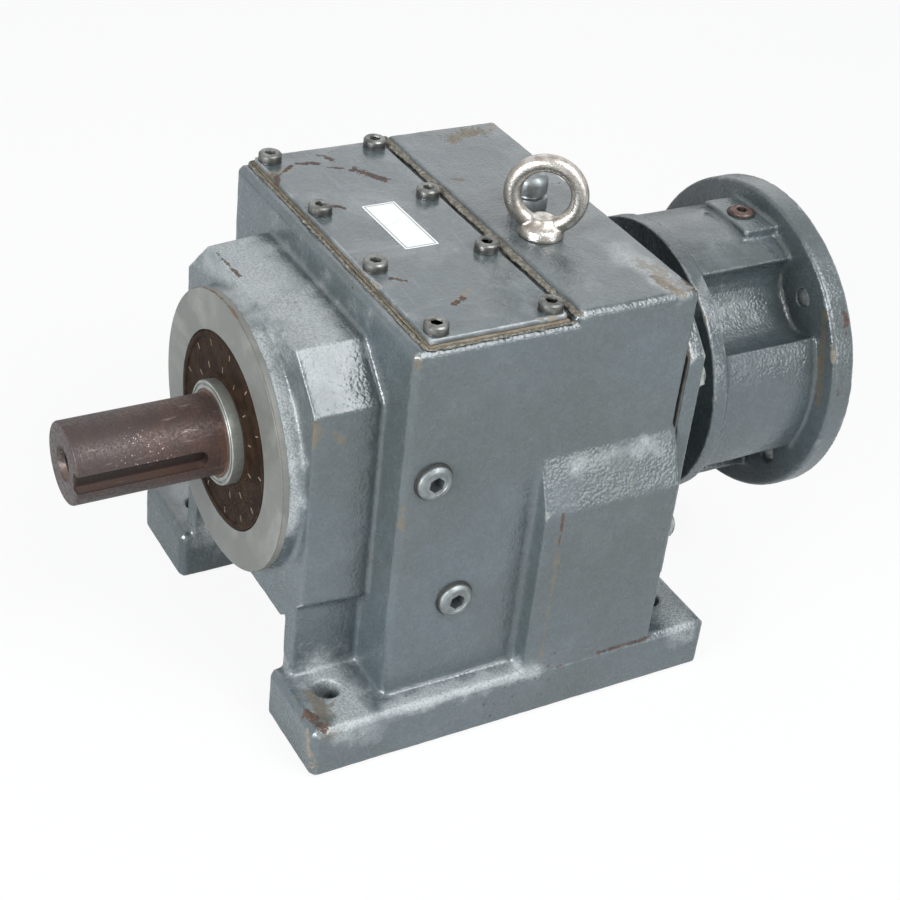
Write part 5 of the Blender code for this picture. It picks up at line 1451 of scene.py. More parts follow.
@dataclass
class Adapter:
    """The motor adapter casting with its crisp flange rim."""

    name: str = "adapter_casting"
    voxel: float = 0.0012
    flange_radius: float = 0.1160
    flange_thickness: float = 0.0180
    rim_width: float = 0.0060
    rim_edge: float = 0.0010

    def build(self, frame: dict, groups: Groups) -> None:
        """Build and dress the adapter.

        Args:
            frame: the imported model.
            groups: the shared node groups.
        """
        low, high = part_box("motor_adapter")
        axis = centre_of("coupling_hub")
        back = high[1]
        collar = back - 0.1080
        casting = Casting(
            self.name, "motor_adapter", "housing", self.voxel, fillet_rounds=3, most_triangles=170000,
            bands=(
                RoundBand((axis[0], axis[2]), 32, 0.0800, self.flange_radius + 0.0008, collar - 0.002, back + 0.001),
                RoundBand((axis[0], axis[2]), 24, 0.0560, 0.0612, collar - 0.040, back - 0.006),
            ),
            sharp_zones=(Zone((-0.2, back - 0.0055, 0.0), (0.2, back + 0.01, 0.4)),),
            seed=9.0,
        )
        piece = casting.build(frame)
        paint = CastPaint(
            "adapter_paint", chip_reach=0.52,
            strokes=(
                Stroke(Wear.RUST, (0.0694, back - 0.018, 0.2830), (0.0760, back - 0.018, 0.2760), 0.0030),
                Stroke(Wear.RUST, (0.0950, back - 0.004, 0.2389), (0.1020, back - 0.006, 0.2250), 0.0026),
                Stroke(Wear.STAIN, (0.0902, back - 0.018, 0.2389), (0.1049, back - 0.018, 0.1735), 0.0034),
                Stroke(Wear.BARE, (0.1010, back - 0.018, 0.2300), (0.1100, back - 0.018, 0.2080), 0.0024),
                Stroke(Wear.RUST, (0.1110, back - 0.010, 0.1990), (0.1135, back - 0.012, 0.1880), 0.0022),
                Stroke(Wear.PALE, (0.0560, back - 0.095, 0.2400), (0.0620, back - 0.040, 0.2400), 0.0200),
            ),
        ).build(groups)
        dress(piece, paint, "housing", ("motor_adapter",))


@dataclass
class Plate:
    """The cover plate over the front chamber."""

    voxel: float = 0.0011

    def build(self, frame: dict, groups: Groups) -> None:
        """Build and dress the cover.

        Args:
            frame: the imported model.
            groups: the shared node groups.
        """
        casting = Casting(
            "cover_plate", "top_cover", "housing", self.voxel, edge_passes=1, lump_height=0.00006,
            most_triangles=90000, seed=14.0,
        )
        piece = casting.build(frame)
        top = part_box("top_cover")[1][2]
        paint = CastPaint(
            "cover_paint", lump=0.0003, chip_reach=0.46, scuffs=0.60,
            strokes=(
                Stroke(Wear.RUST, (-0.0875, -0.0895, top), (-0.0948, -0.0841, top), 0.0040),
                Stroke(Wear.RUST, (-0.0948, -0.0841, top), (-0.1060, -0.0690, top), 0.0016),
                Stroke(Wear.RUST, (-0.1080, -0.0640, top), (-0.1040, -0.0510, top), 0.0028),
                Stroke(Wear.RUST, (-0.0970, -0.0463, top), (-0.0920, -0.0373, top), 0.0018),
                Stroke(Wear.RUST, (-0.0890, -0.0308, top), (-0.0681, -0.0175, top), 0.0040),
                Stroke(Wear.RUST, (-0.1157, -0.0436, top), (-0.1063, -0.0391, top), 0.0026),
                Stroke(Wear.RUST, (-0.0443, -0.0674, top), (-0.0398, -0.0624, top), 0.0022),
                Stroke(Wear.RUST, (0.0527, -0.0758, top), (0.0585, -0.0699, top), 0.0022),
                Stroke(Wear.STAIN, (0.0745, -0.0594, top), (0.0755, -0.0590, top), 0.0022),
                Stroke(Wear.STAIN, (0.0932, -0.0543, top), (0.0785, -0.0337, top), 0.0034),
                Stroke(Wear.RUST, (0.0932, -0.0543, top), (0.0885, -0.0450, top), 0.0026),
                Stroke(Wear.STAIN, (-0.0960, -0.0880, top), (-0.1000, -0.0780, top), 0.0060),
            ),
        ).build(groups)
        dress(piece, paint, "housing", ("top_cover",))


@dataclass
class SealantBead:
    """Dried sealant squeezed out round the cover, laid along two paths by Geometry Nodes."""

    ledge_radius: float = 0.0015
    seam_radius: float = 0.0028
    step: float = 0.0012
    unevenness: float = 0.0030
    corner: float = 0.0040
    outwards: float = 0.0016
    flatness: float = 0.50
    seed: float = 4.0

    def tree(self) -> tuple[bpy.types.NodeTree, dict[str, str]]:
        """Return the node tree and the identifiers of its inputs by name."""
        tree = bpy.data.node_groups.new("sealant_bead", "GeometryNodeTree")
        tree.interface.new_socket("Geometry", in_out="INPUT", socket_type="NodeSocketGeometry")
        names = {}
        for title in ("Bead Radius", "Step", "Unevenness", "Seed"):
            names[title] = tree.interface.new_socket(
                title, in_out="INPUT", socket_type="NodeSocketFloat").identifier
        names["Finish"] = tree.interface.new_socket(
            "Finish", in_out="INPUT", socket_type="NodeSocketMaterial").identifier
        tree.interface.new_socket("Geometry", in_out="OUTPUT", socket_type="NodeSocketGeometry")
        graph = Graph(tree)
        entry = graph.add("NodeGroupInput").outputs
        even = graph.add(
            "GeometryNodeResampleCurve", {"Curve": entry["Geometry"], "Length": entry["Step"]}, mode="LENGTH"
        )
        where = graph.add("GeometryNodeInputPosition").outputs[0]
        offset = graph.add("ShaderNodeCombineXYZ", {0: entry["Seed"]}).outputs[0]
        moved = graph.add("ShaderNodeVectorMath", {0: where, 1: offset}, operation="ADD").outputs[0]
        rough = graph.add("ShaderNodeTexNoise", {"Vector": moved, "Scale": 190.0, "Detail": 4.0, "Roughness": 0.7})
        push = graph.add("ShaderNodeVectorMath", {0: rough.outputs["Color"], 1: (0.5, 0.5, 0.5)}, operation="SUBTRACT")
        scaled = graph.add("ShaderNodeVectorMath", {0: push.outputs[0], "Scale": entry["Unevenness"]}, operation="SCALE")
        laid = graph.add("GeometryNodeSetPosition", {"Geometry": even.outputs[0], "Offset": scaled.outputs[0]})
        wide = graph.noise(moved, 42.0, 2.0, 0.6)
        size = graph.math("MULTIPLY", entry["Bead Radius"], graph.blend(rough.outputs["Fac"], 0.30, 1.55))
        size = graph.math("MULTIPLY", size, graph.blend(wide, 0.35, 1.65))
        profile = graph.add("GeometryNodeCurvePrimitiveCircle", {"Radius": 1.0, "Resolution": 12})
        mesh = graph.add(
            "GeometryNodeCurveToMesh",
            {"Curve": laid.outputs[0], "Profile Curve": profile.outputs[0], "Scale": size, "Fill Caps": True},
        )
        real = graph.add("GeometryNodeRealizeInstances", {0: mesh.outputs[0]})
        shaded = graph.add("GeometryNodeSetMaterial", {0: real.outputs[0], "Material": entry["Finish"]})
        graph.add("NodeGroupOutput", {0: shaded.outputs[0]})
        return tree, names

    def build(self, groups: Groups) -> None:
        """Build and dress both beads.

        Args:
            groups: the shared node groups.
        """
        finish = MattSkin(
            "sealant", (0.105, 0.097, 0.076), (0.270, 0.248, 0.200), 420.0, 0.72, 0.0009, (0.018, 0.014, 0.010)
        ).build(groups)
        tree, names = self.tree()
        low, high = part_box("cover_gasket")
        grow = self.outwards
        left, right = low[0] - grow, high[0] + grow
        front, back = low[1] - grow, high[1] + 0.0038
        soft = self.corner
        ledge = [(left, back)]
        for x, y, first in ((left + soft, front + soft, 180.0), (right - soft, front + soft, 270.0)):
            for step in range(5):
                angle = math.radians(first + 22.5 * step)
                ledge.append((x + soft * math.cos(angle), y + soft * math.sin(angle)))
        ledge.append((right, back))
        self._lay("cover_ledge_sealant", ledge, low[2] + 0.0002, self.ledge_radius, finish, tree, names)
        seam = [(left + 0.0005, back), (right - 0.0005, back)]
        self._lay("cover_seam_sealant", seam, high[2] + 0.0042, self.seam_radius, finish, tree, names)

    def _lay(self, name: str, path: list[tuple[float, float]], level: float, radius: float,
             finish: bpy.types.Material, tree: bpy.types.NodeTree, names: dict[str, str]) -> None:
        """Lay one bead.

        Args:
            name: name of the piece.
            path: points as x and y.
            level: height of the bead's middle.
            radius: mean radius before it is flattened.
            finish: its material.
            tree: the node tree.
            names: identifiers of the tree's inputs.
        """
        curve = bpy.data.curves.new(name, "CURVE")
        curve.dimensions = "3D"
        spline = curve.splines.new("POLY")
        spline.points.add(len(path) - 1)
        for point, (x, y) in zip(spline.points, path):
            point.co = (x, y, level, 1.0)
        piece = bpy.data.objects.new(name, curve)
        bpy.context.scene.collection.objects.link(piece)
        modifier = piece.modifiers.new("bead", "NODES")
        modifier.node_group = tree
        values = {
            "Bead Radius": radius, "Step": self.step, "Unevenness": self.unevenness, "Seed": self.seed * radius,
            "Finish": finish,
        }
        for title, value in values.items():
            modifier[names[title]] = value
        piece = settle(piece)
        points = read_points(piece.data)
        points[:, 2] = level + (points[:, 2] - level) * self.flatness
        write_points(piece.data, points)
        smooth_by_angle(piece.data, 80.0)
        dress(piece, finish, "housing")


@dataclass
class FastenerRow:
    """Screws or bolts of one kind, placed on points by Geometry Nodes with a random turn."""

    name: str
    nodes: tuple[str, ...]
    axis: Axis
    sides: int
    head_radius: float
    head_height: float
    socket_radius: float
    washer_radius: float
    washer_height: float
    shank_radius: float
    shank_length: float
    seed: int
    sizes: tuple[str, ...] = (
        "Head Radius", "Head Height", "Socket Radius", "Washer Radius", "Washer Height", "Shank Radius",
        "Shank Length",
    )

    def tree(self) -> tuple[bpy.types.NodeTree, dict[str, str]]:
        """Return the node tree and the identifiers of its inputs by name."""
        tree = bpy.data.node_groups.new(self.name, "GeometryNodeTree")
        tree.interface.new_socket("Geometry", in_out="INPUT", socket_type="NodeSocketGeometry")
        names = {}
        for title in self.sizes:
            names[title] = tree.interface.new_socket(
                title, in_out="INPUT", socket_type="NodeSocketFloat").identifier
        names["Seed"] = tree.interface.new_socket("Seed", in_out="INPUT", socket_type="NodeSocketInt").identifier
        names["Finish"] = tree.interface.new_socket(
            "Finish", in_out="INPUT", socket_type="NodeSocketMaterial").identifier
        tree.interface.new_socket("Geometry", in_out="OUTPUT", socket_type="NodeSocketGeometry")
        graph = Graph(tree)
        entry = graph.add("NodeGroupInput").outputs
        socketed = self.socket_radius > 0
        height = entry["Head Height"]
        body = graph.math("MULTIPLY", height, 0.80)
        base = entry["Washer Height"]
        head = self._bar(graph, self.sides, entry["Head Radius"], base, body)
        chamfer_base = graph.math("ADD", base, graph.math("MULTIPLY", height, 0.78))
        inset = graph.math("MULTIPLY", entry["Head Radius"], 0.985 if socketed else 0.93)
        chamfer = graph.add("GeometryNodeMeshCone", {
            "Vertices": self.sides if socketed else 36, "Radius Bottom": inset,
            "Radius Top": graph.math("MULTIPLY", entry["Head Radius"], 0.88 if socketed else 0.80),
            "Depth": graph.math("MULTIPLY", height, 0.22),
        }).outputs["Mesh"]
        chamfer = self._raised(graph, chamfer, chamfer_base)
        washer = self._bar(graph, 40, entry["Washer Radius"], 0.0, base)
        shank = self._bar(
            graph, 20, entry["Shank Radius"], graph.math("MULTIPLY", entry["Shank Length"], -1.0),
            graph.math("ADD", entry["Shank Length"], graph.math("MULTIPLY", base, 0.5)),
        )
        whole = graph.add("GeometryNodeMeshBoolean", operation="UNION", solver="EXACT")
        for solid in (head, chamfer, washer, shank):
            graph.tree.links.new(solid, whole.inputs["Mesh 2"])
        result = whole.outputs["Mesh"]
        if socketed:
            key = self._bar(graph, 6, entry["Socket Radius"], graph.math("MULTIPLY", height, 0.35), height)
            hollow = graph.add("GeometryNodeMeshBoolean", {"Mesh 1": result}, operation="DIFFERENCE", solver="EXACT")
            graph.tree.links.new(key, hollow.inputs["Mesh 2"])
            result = hollow.outputs["Mesh"]
        turn = graph.add("FunctionNodeRandomValue", {"Seed": entry["Seed"]}, data_type="FLOAT")
        turn.inputs[3].default_value = math.tau
        spin = graph.add("ShaderNodeCombineXYZ", {2: turn.outputs[1]})
        placed = graph.add(
            "GeometryNodeInstanceOnPoints",
            {"Points": entry["Geometry"], "Instance": result, "Rotation": spin.outputs[0]},
        )
        real = graph.add("GeometryNodeRealizeInstances", {0: placed.outputs[0]})
        shaded = graph.add("GeometryNodeSetMaterial", {0: real.outputs[0], "Material": entry["Finish"]})
        graph.add("NodeGroupOutput", {0: shaded.outputs[0]})
        return tree, names

    def _raised(self, graph: Graph, mesh: Socket, height: object) -> Socket:
        """Return a mesh moved up its own axis.

        Args:
            graph: graph of the tree.
            mesh: mesh that is moved.
            height: distance or socket.
        """
        offset = graph.add("ShaderNodeCombineXYZ", {2: height})
        return graph.add(
            "GeometryNodeTransform", {"Geometry": mesh, "Translation": offset.outputs[0]}
        ).outputs[0]

    def _bar(self, graph: Graph, sides: int, radius: object, start: object, length: object) -> Socket:
        """Return a straight bar from a height up.

        Args:
            graph: graph of the tree.
            sides: number of flats.
            radius: radius at its corners.
            start: height of its lower end.
            length: its length.
        """
        mesh = graph.add(
            "GeometryNodeMeshCylinder", {"Vertices": sides, "Radius": radius, "Depth": length}
        ).outputs["Mesh"]
        middle = graph.math("ADD", start, graph.math("MULTIPLY", length, 0.5))
        return self._raised(graph, mesh, middle)

    def build(self, seats: list[Vector], finish: bpy.types.Material, slot: str) -> None:
        """Build and dress the fasteners.

        Args:
            seats: place under each head.
            finish: their material.
            slot: material slot of the record; not used.
        """
        turn = self.axis.turn()
        points = bpy.data.meshes.new(self.name)
        points.from_pydata([turn.inverted() @ seat for seat in seats], [], [])
        piece = link(self.name, points)
        piece.matrix_world = turn
        tree, names = self.tree()
        modifier = piece.modifiers.new("row", "NODES")
        modifier.node_group = tree
        values = (
            self.head_radius, self.head_height, self.socket_radius, self.washer_radius, self.washer_height,
            self.shank_radius, self.shank_length,
        )
        for title, value in zip(self.sizes, values):
            modifier[names[title]] = value
        modifier[names["Seed"]] = self.seed
        modifier[names["Finish"]] = finish
        settle(piece)
        soften(piece, 0.0005, 2)
        hollow_places(piece.data, 0.0009)
        dress(piece, finish, "housing", self.nodes)


def soften(piece: bpy.types.Object, width: float, segments: int, degrees: float = 30.0) -> None:
    """Bevel a piece's sharp edges and shade it.

    Args:
        piece: the piece.
        width: width of the bevel in metres.
        segments: facets across the bevel.
        degrees: angle past which an edge is sharp.
    """
    bevel = piece.modifiers.new("edges", "BEVEL")
    bevel.width = width
    bevel.segments = segments
    bevel.limit_method = "ANGLE"
    bevel.angle_limit = math.radians(degrees)
    bevel.harden_normals = False
    settle(piece)
    smooth_by_angle(piece.data, 40.0)


def hollow_places(mesh: bpy.types.Mesh, reach: float) -> None:
    """Write the crevice attribute from how the faces bend inwards at each point.

    Args:
        mesh: the mesh.
        reach: size of the corner in metres.
    """
    bend = Skin(mesh).curvature(1) * reach
    attribute = mesh.attributes.new("crevice", "FLOAT", "POINT")
    attribute.data.foreach_set("value", np.clip(bend, 0.0, 1.0).astype(np.float32))


@dataclass
class SocketPlug:
    """An oil plug with a flanged head, a hexagon socket and a sealing ring under it."""

    node: str
    axis: Axis
    head_radius: float
    head_height: float
    socket: float
    shank_radius: float

    def build(self, finish: bpy.types.Material, rubber: bpy.types.Material) -> None:
        """Build and dress the plug and its sealing ring.

        Args:
            finish: material of the plug.
            rubber: material of the ring.
        """
        low, high = (Vector(corner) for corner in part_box(self.node))
        run = {Axis.X: 0, Axis.Y: 1, Axis.Z: 2}[self.axis]
        centre = (low + high) / 2
        centre[run] = high[run] - self.head_height
        depth = centre[run] - low[run]
        top = self.head_height
        mesh = lathe(
            f"{self.node}_turned",
            [
                Corner(0.0, -depth), Corner(self.shank_radius, -depth, 0.0008), Corner(self.shank_radius, 0.0),
                Corner(self.head_radius, 0.0, 0.0004), Corner(self.head_radius, top * 0.62, 0.0009),
                Corner(self.head_radius * 0.80, top * 0.98, 0.0008), Corner(self.head_radius * 0.62, top * 0.98, 0.0003),
                Corner(self.head_radius * 0.60, top * 0.90), Corner(0.0, top * 0.90),
            ],
            self.axis, tuple(centre), 64,
        )
        piece = link(f"{self.node}_turned", mesh)
        cut_away(piece, [prism("key_hole", 6, self.socket, -top * 0.8, top * 2.0, self.axis, tuple(centre), 0.35)])
        smooth_by_angle(piece.data, 35.0)
        hollow_places(piece.data, 0.0012)
        dress(piece, finish, "housing", (self.node,))
        ring = lathe(
            f"{self.node}_washer",
            [
                Corner(self.shank_radius, -0.0002), Corner(self.head_radius + 0.0011, -0.0002),
                Corner(self.head_radius + 0.0011, 0.0011, 0.0004), Corner(self.shank_radius, 0.0011),
            ],
            self.axis, tuple(centre), 64, True,
        )
        dress(link(f"{self.node}_washer", ring), rubber, "housing")


@dataclass
class EyeBolt:
    """The forged lifting eye."""

    wire: float = 0.0058
    outer: float = 0.0275
    turn: float = math.radians(52.0)
    voxel: float = 0.00062

    def build(self, groups: Groups) -> None:
        """Build and dress the eye bolt.

        Args:
            groups: the shared node groups.
        """
        low, high = (Vector(corner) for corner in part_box("eye_bolt"))
        centre = (low + high) / 2
        seat = high.z - 0.0555
        ring_centre = Vector((centre.x, centre.y, high.z - self.outer))
        shape = bmesh.new()
        major = self.outer - self.wire
        around, across = 96, 28
        grid = []
        for a in range(around):
            angle = math.tau * a / around
            row = []
            for b in range(across):
                small = math.tau * b / across
                reach = major + self.wire * math.cos(small)
                row.append(shape.verts.new((reach * math.cos(angle), self.wire * math.sin(small), reach * math.sin(angle))))
            grid.append(row)
        for a in range(around):
            for b in range(across):
                shape.faces.new((
                    grid[a][b], grid[(a + 1) % around][b], grid[(a + 1) % around][(b + 1) % across],
                    grid[a][(b + 1) % across],
                ))
        bmesh.ops.recalc_face_normals(shape, faces=shape.faces)
        ring = bpy.data.meshes.new("forged_ring")
        shape.to_mesh(ring)
        shape.free()
        ring.transform(Matrix.Translation(ring_centre) @ Matrix.Rotation(self.turn, 4, "Z"))
        stem = lathe(
            "forged_stem",
            [
                Corner(0.0, low.z - seat), Corner(0.006, low.z - seat, 0.001), Corner(0.006, 0.0),
                Corner(0.0148, 0.0, 0.0006), Corner(0.0150, 0.0018, 0.0005), Corner(0.0138, 0.0065, 0.0015),
                Corner(0.0092, 0.0092, 0.0030), Corner(0.0070, 0.0128), Corner(0.0, 0.0128),
            ],
            Axis.Z, (centre.x, centre.y, seat), 96,
        )
        piece = link("lifting_eye", joined("lifting_eye", [ring, stem]))
        remesh = piece.modifiers.new("forge", "REMESH")
        remesh.mode = "VOXEL"
        remesh.voxel_size = self.voxel
        settle(piece)
        skin = Skin(piece.data)
        shank = skin.points[:, 2] < seat + 0.0005
        skin.relax(2, 0.5)
        skin.fillet(4, (~shank).astype(float), 0.003)
        skin.store(0.0020)
        for face in piece.data.polygons:
            face.use_smooth = True
        finish = PlatedSteel(
            "forged_bright_steel", (0.560, 0.535, 0.500), (0.330, 0.300, 0.265), (0.150, 0.085, 0.050),
            0.20, 0.62, 0.75, 0.00022,
        ).build(groups)
        dress(piece, finish, "housing", ("eye_bolt",))


@dataclass
class Breather:
    """The breather valve: hexagon, waist and cap."""

    cap: float = 0.0115
    height: float = 0.0240

    def build(self, finish: bpy.types.Material) -> None:
        """Build and dress the breather.

        Args:
            finish: its material.
        """
        low, high = (Vector(corner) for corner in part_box("breather_valve"))
        centre = (low + high) / 2
        seat = high.z - self.height
        place = (centre.x, centre.y, seat)
        hexagon = 0.35 * self.height
        turned = lathe(
            "breather_turned",
            [
                Corner(0.0, low.z - seat), Corner(0.006, low.z - seat, 0.0008), Corner(0.006, hexagon * 0.5),
                Corner(self.cap * 0.70, hexagon * 0.5), Corner(self.cap * 0.70, hexagon * 1.35),
                Corner(self.cap, hexagon * 1.35, 0.0006), Corner(self.cap, self.height * 0.86, 0.0022),
                Corner(self.cap * 0.74, self.height, 0.0012), Corner(0.0, self.height),
            ],
            Axis.Z, place, 72,
        )
        piece = link("breather_body", turned)
        cut_away(piece, [prism("hexagon", 6, self.cap * 1.1, 0.0, hexagon, Axis.Z, place, 0.3)], "UNION")
        soften(piece, 0.0004, 2)
        hollow_places(piece.data, 0.0012)
        dress(piece, finish, "housing", ("breather_valve",))


@dataclass
class OutputShaft:
    """The output shaft with its keyway, its centre hole and the sleeve under the seal."""

    radius: float = 0.02699
    sleeve_seat: float = 0.0290
    shoulder: float = 0.0405
    wheel_seat: float = 0.0317
    rear_seat: float = 0.0272
    front_seat: float = 0.0347
    tip_edge: float = 0.0018
    keyway_width: float = 0.0127
    keyway_depth: float = 0.0075
    keyway_length: float = 0.0860
    hole_radius: float = 0.0080
    hole_depth: float = 0.0300

    def build(self, groups: Groups) -> None:
        """Build and dress the shaft.

        Args:
            groups: the shared node groups.
        """
        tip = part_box("output_shaft")[0][1]
        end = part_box("output_shaft")[1][1]
        sleeve_low, sleeve_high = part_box("seal_sleeve")
        bearing_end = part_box("output_front_bearing_cone")[1][1]
        wheel_low, wheel_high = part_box("output_wheel")
        axis = centre_of("output_shaft")
        place = (axis.x, 0.0, axis.z)
        mesh = lathe(
            "output_shaft_turned",
            [
                Corner(0.0, tip), Corner(self.radius, tip, self.tip_edge), Corner(self.radius, sleeve_low[1], 0.0005),
                Corner(self.sleeve_seat, sleeve_low[1], 0.0004), Corner(self.sleeve_seat, sleeve_high[1]),
                Corner(self.front_seat, sleeve_high[1], 0.0005), Corner(self.front_seat, bearing_end),
                Corner(self.shoulder, bearing_end, 0.0008), Corner(self.shoulder, wheel_low[1], 0.0008),
                Corner(self.wheel_seat, wheel_low[1]), Corner(self.wheel_seat, wheel_high[1], 0.0006),
                Corner(self.rear_seat, wheel_high[1]), Corner(self.rear_seat, end, 0.0010), Corner(0.0, end),
            ],
            Axis.Y, place, 144,
        )
        piece = link("output_shaft_turned", mesh)
        hole = lathe(
            "centre_hole",
            [
                Corner(0.0, tip - 0.002), Corner(self.hole_radius + 0.0058, tip - 0.002),
                Corner(self.hole_radius, tip + 0.0040), Corner(self.hole_radius, tip + self.hole_depth),
                Corner(0.0, tip + self.hole_depth + 0.0046),
            ],
            Axis.Y, place, 64,
        )
        cut_away(piece, [self._keyway(tip, axis), hole])
        smooth_by_angle(piece.data, 32.0)
        finish = RustySteel("shaft_rust", tuple(axis)).build(groups)
        dress(piece, finish, "output", ("output_shaft",))

    def _keyway(self, tip: float, axis: Vector) -> bpy.types.Mesh:
        """Return the cutter for the keyway with its round end.

        Args:
            tip: place of the shaft's tip.
            axis: point on the shaft's axis.
        """
        half = self.keyway_width / 2
        stop = tip + self.keyway_length - half
        outline = [(tip - 0.01, -half)]
        outline += [
            (stop + half * math.cos(angle), half * math.sin(angle))
            for angle in (math.radians(-90 + 7.5 * step) for step in range(25))
        ]
        outline.append((tip - 0.01, half))
        shape = bmesh.new()
        floor = axis.x + self.radius - self.keyway_depth
        face = shape.faces.new([shape.verts.new((floor, y, axis.z + z)) for y, z in outline])
        grown = bmesh.ops.extrude_face_region(shape, geom=[face])
        top = [item for item in grown["geom"] if isinstance(item, bmesh.types.BMVert)]
        bmesh.ops.translate(shape, verts=top, vec=(0.02, 0.0, 0.0))
        bmesh.ops.recalc_face_normals(shape, faces=shape.faces)
        mesh = bpy.data.meshes.new("keyway")
        shape.to_mesh(mesh)
        shape.free()
        return mesh


@dataclass
class SealSet:
    """The output seal with its radial marks and the sleeve that it runs on."""

    tick_count: int = 26
    tick_length: float = 0.0042
    tick_width: float = 0.00075
    tick_height: float = 0.0005
    seed: int = 5

    def build(self, groups: Groups) -> None:
        """Build and dress the seal, its marks and the sleeve.

        Args:
            groups: the shared node groups.
        """
        low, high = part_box("output_shaft_seal")
        axis = centre_of("output_shaft")
        outer = (high[0] - low[0]) / 2
        sleeve_low, sleeve_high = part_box("seal_sleeve")
        sleeve = (sleeve_high[0] - sleeve_low[0]) / 2
        bore = sleeve - 0.0053
        lip = sleeve + 0.0004
        depth = high[1] - low[1]
        wall = 0.0030
        place = (axis.x, low[1], axis.z)
        seal = lathe(
            "shaft_seal_ring",
            [
                Corner(lip, 0.0004, 0.0003), Corner(lip + 0.0030, 0.0, 0.0006), Corner(lip + 0.0042, 0.0010, 0.0003),
                Corner(outer - 0.0046, 0.0010, 0.0003), Corner(outer - 0.0036, 0.0002, 0.0003),
                Corner(outer - 0.0004, 0.0002, 0.0004), Corner(outer - 0.0001, 0.0010), Corner(outer - 0.0001, depth),
                Corner(outer - wall, depth), Corner(outer - wall, wall), Corner(lip, wall),
            ],
            Axis.Y, place, 144, True,
        )
        skin = MattSkin(
            "seal_rubber", (0.012, 0.006, 0.003), (0.026, 0.014, 0.008), 90.0, 0.55, 0.00025, (0.100, 0.075, 0.050), 0.05
        ).build(groups)
        dress(link("shaft_seal_ring", seal), skin, "housing", ("output_shaft_seal",))
        pale = MattSkin(
            "seal_marks", (0.120, 0.090, 0.060), (0.260, 0.210, 0.150), 200.0, 0.60, 0.0001, (0.03, 0.02, 0.015)
        ).build(groups)
        self._ticks(place, outer, pale)
        turned = lathe(
            "seal_sleeve_turned",
            [
                Corner(bore, 0.0, 0.0004), Corner(sleeve - 0.0030, 0.0, 0.0005),
                Corner(sleeve - 0.0028, 0.0011, 0.0003), Corner(sleeve - 0.0021, 0.0011, 0.0003),
                Corner(sleeve - 0.0019, 0.0002, 0.0003), Corner(sleeve, 0.0002, 0.0008),
                Corner(sleeve, sleeve_high[1] - sleeve_low[1]),
                Corner(bore, sleeve_high[1] - sleeve_low[1]),
            ],
            Axis.Y, (axis.x, sleeve_low[1], axis.z), 144, True,
        )
        bright = PlatedSteel(
            "sleeve_steel", (0.400, 0.410, 0.375), (0.270, 0.290, 0.265), (0.180, 0.100, 0.060), 0.38, 0.4, 0.75, 0.00012
        ).build(groups)
        dress(link("seal_sleeve_turned", turned), bright, "output", ("seal_sleeve",))

    def _ticks(self, place: Point, outer: float, finish: bpy.types.Material) -> None:
        """Lay the radial marks on the seal with Geometry Nodes.

        Args:
            place: middle of the seal's face.
            outer: outer radius of the seal.
            finish: material of the marks.
        """
        tree = bpy.data.node_groups.new("seal_marks", "GeometryNodeTree")
        tree.interface.new_socket("Geometry", in_out="INPUT", socket_type="NodeSocketGeometry")
        names = {}
        for title in ("Ring Radius", "Length", "Width", "Height"):
            names[title] = tree.interface.new_socket(
                title, in_out="INPUT", socket_type="NodeSocketFloat").identifier
        for title in ("Count", "Seed"):
            names[title] = tree.interface.new_socket(title, in_out="INPUT", socket_type="NodeSocketInt").identifier
        names["Finish"] = tree.interface.new_socket(
            "Finish", in_out="INPUT", socket_type="NodeSocketMaterial").identifier
        tree.interface.new_socket("Geometry", in_out="OUTPUT", socket_type="NodeSocketGeometry")
        graph = Graph(tree)
        entry = graph.add("NodeGroupInput").outputs
        points = graph.add("GeometryNodePoints", {"Count": entry["Count"]})
        index = graph.add("GeometryNodeInputIndex").outputs[0]
        angle = graph.math("MULTIPLY", index, graph.math("DIVIDE", math.tau, entry["Count"]))
        random = graph.add("FunctionNodeRandomValue", {"Seed": entry["Seed"]}, data_type="FLOAT")
        random.inputs[2].default_value = -0.09
        random.inputs[3].default_value = 0.09
        angle = graph.math("ADD", angle, random.outputs[1])
        row = graph.math("SUBTRACT", 1.0, graph.math("MULTIPLY", graph.math("MODULO", index, 2.0), 0.25))
        reach = graph.math("MULTIPLY", entry["Ring Radius"], row)
        spot = graph.add("ShaderNodeCombineXYZ", {
            0: graph.math("MULTIPLY", reach, graph.math("COSINE", angle)),
            2: graph.math("MULTIPLY", reach, graph.math("SINE", angle)),
        })
        moved = graph.add("GeometryNodeSetPosition", {"Geometry": points.outputs[0], "Position": spot.outputs[0]})
        size = graph.add("ShaderNodeCombineXYZ", {0: entry["Length"], 1: entry["Height"], 2: entry["Width"]})
        block = graph.add("GeometryNodeMeshCube", {"Size": size.outputs[0]})
        turn = graph.add("ShaderNodeCombineXYZ", {1: graph.math("MULTIPLY", angle, -1.0)})
        placed = graph.add(
            "GeometryNodeInstanceOnPoints",
            {"Points": moved.outputs[0], "Instance": block.outputs["Mesh"], "Rotation": turn.outputs[0]},
        )
        real = graph.add("GeometryNodeRealizeInstances", {0: placed.outputs[0]})
        shaded = graph.add("GeometryNodeSetMaterial", {0: real.outputs[0], "Material": entry["Finish"]})
        graph.add("NodeGroupOutput", {0: shaded.outputs[0]})
        piece = link("seal_marks", bpy.data.meshes.new("seal_marks"))
        piece.location = (place[0], place[1] + 0.0009, place[2])
        modifier = piece.modifiers.new("marks", "NODES")
        modifier.node_group = tree
        for title, value in (
            ("Ring Radius", outer - 0.0080), ("Length", self.tick_length), ("Width", self.tick_width),
            ("Height", self.tick_height), ("Count", self.tick_count), ("Seed", self.seed), ("Finish", finish),
        ):
            modifier[names[title]] = value
        settle(piece)
        dress(piece, finish, "housing")


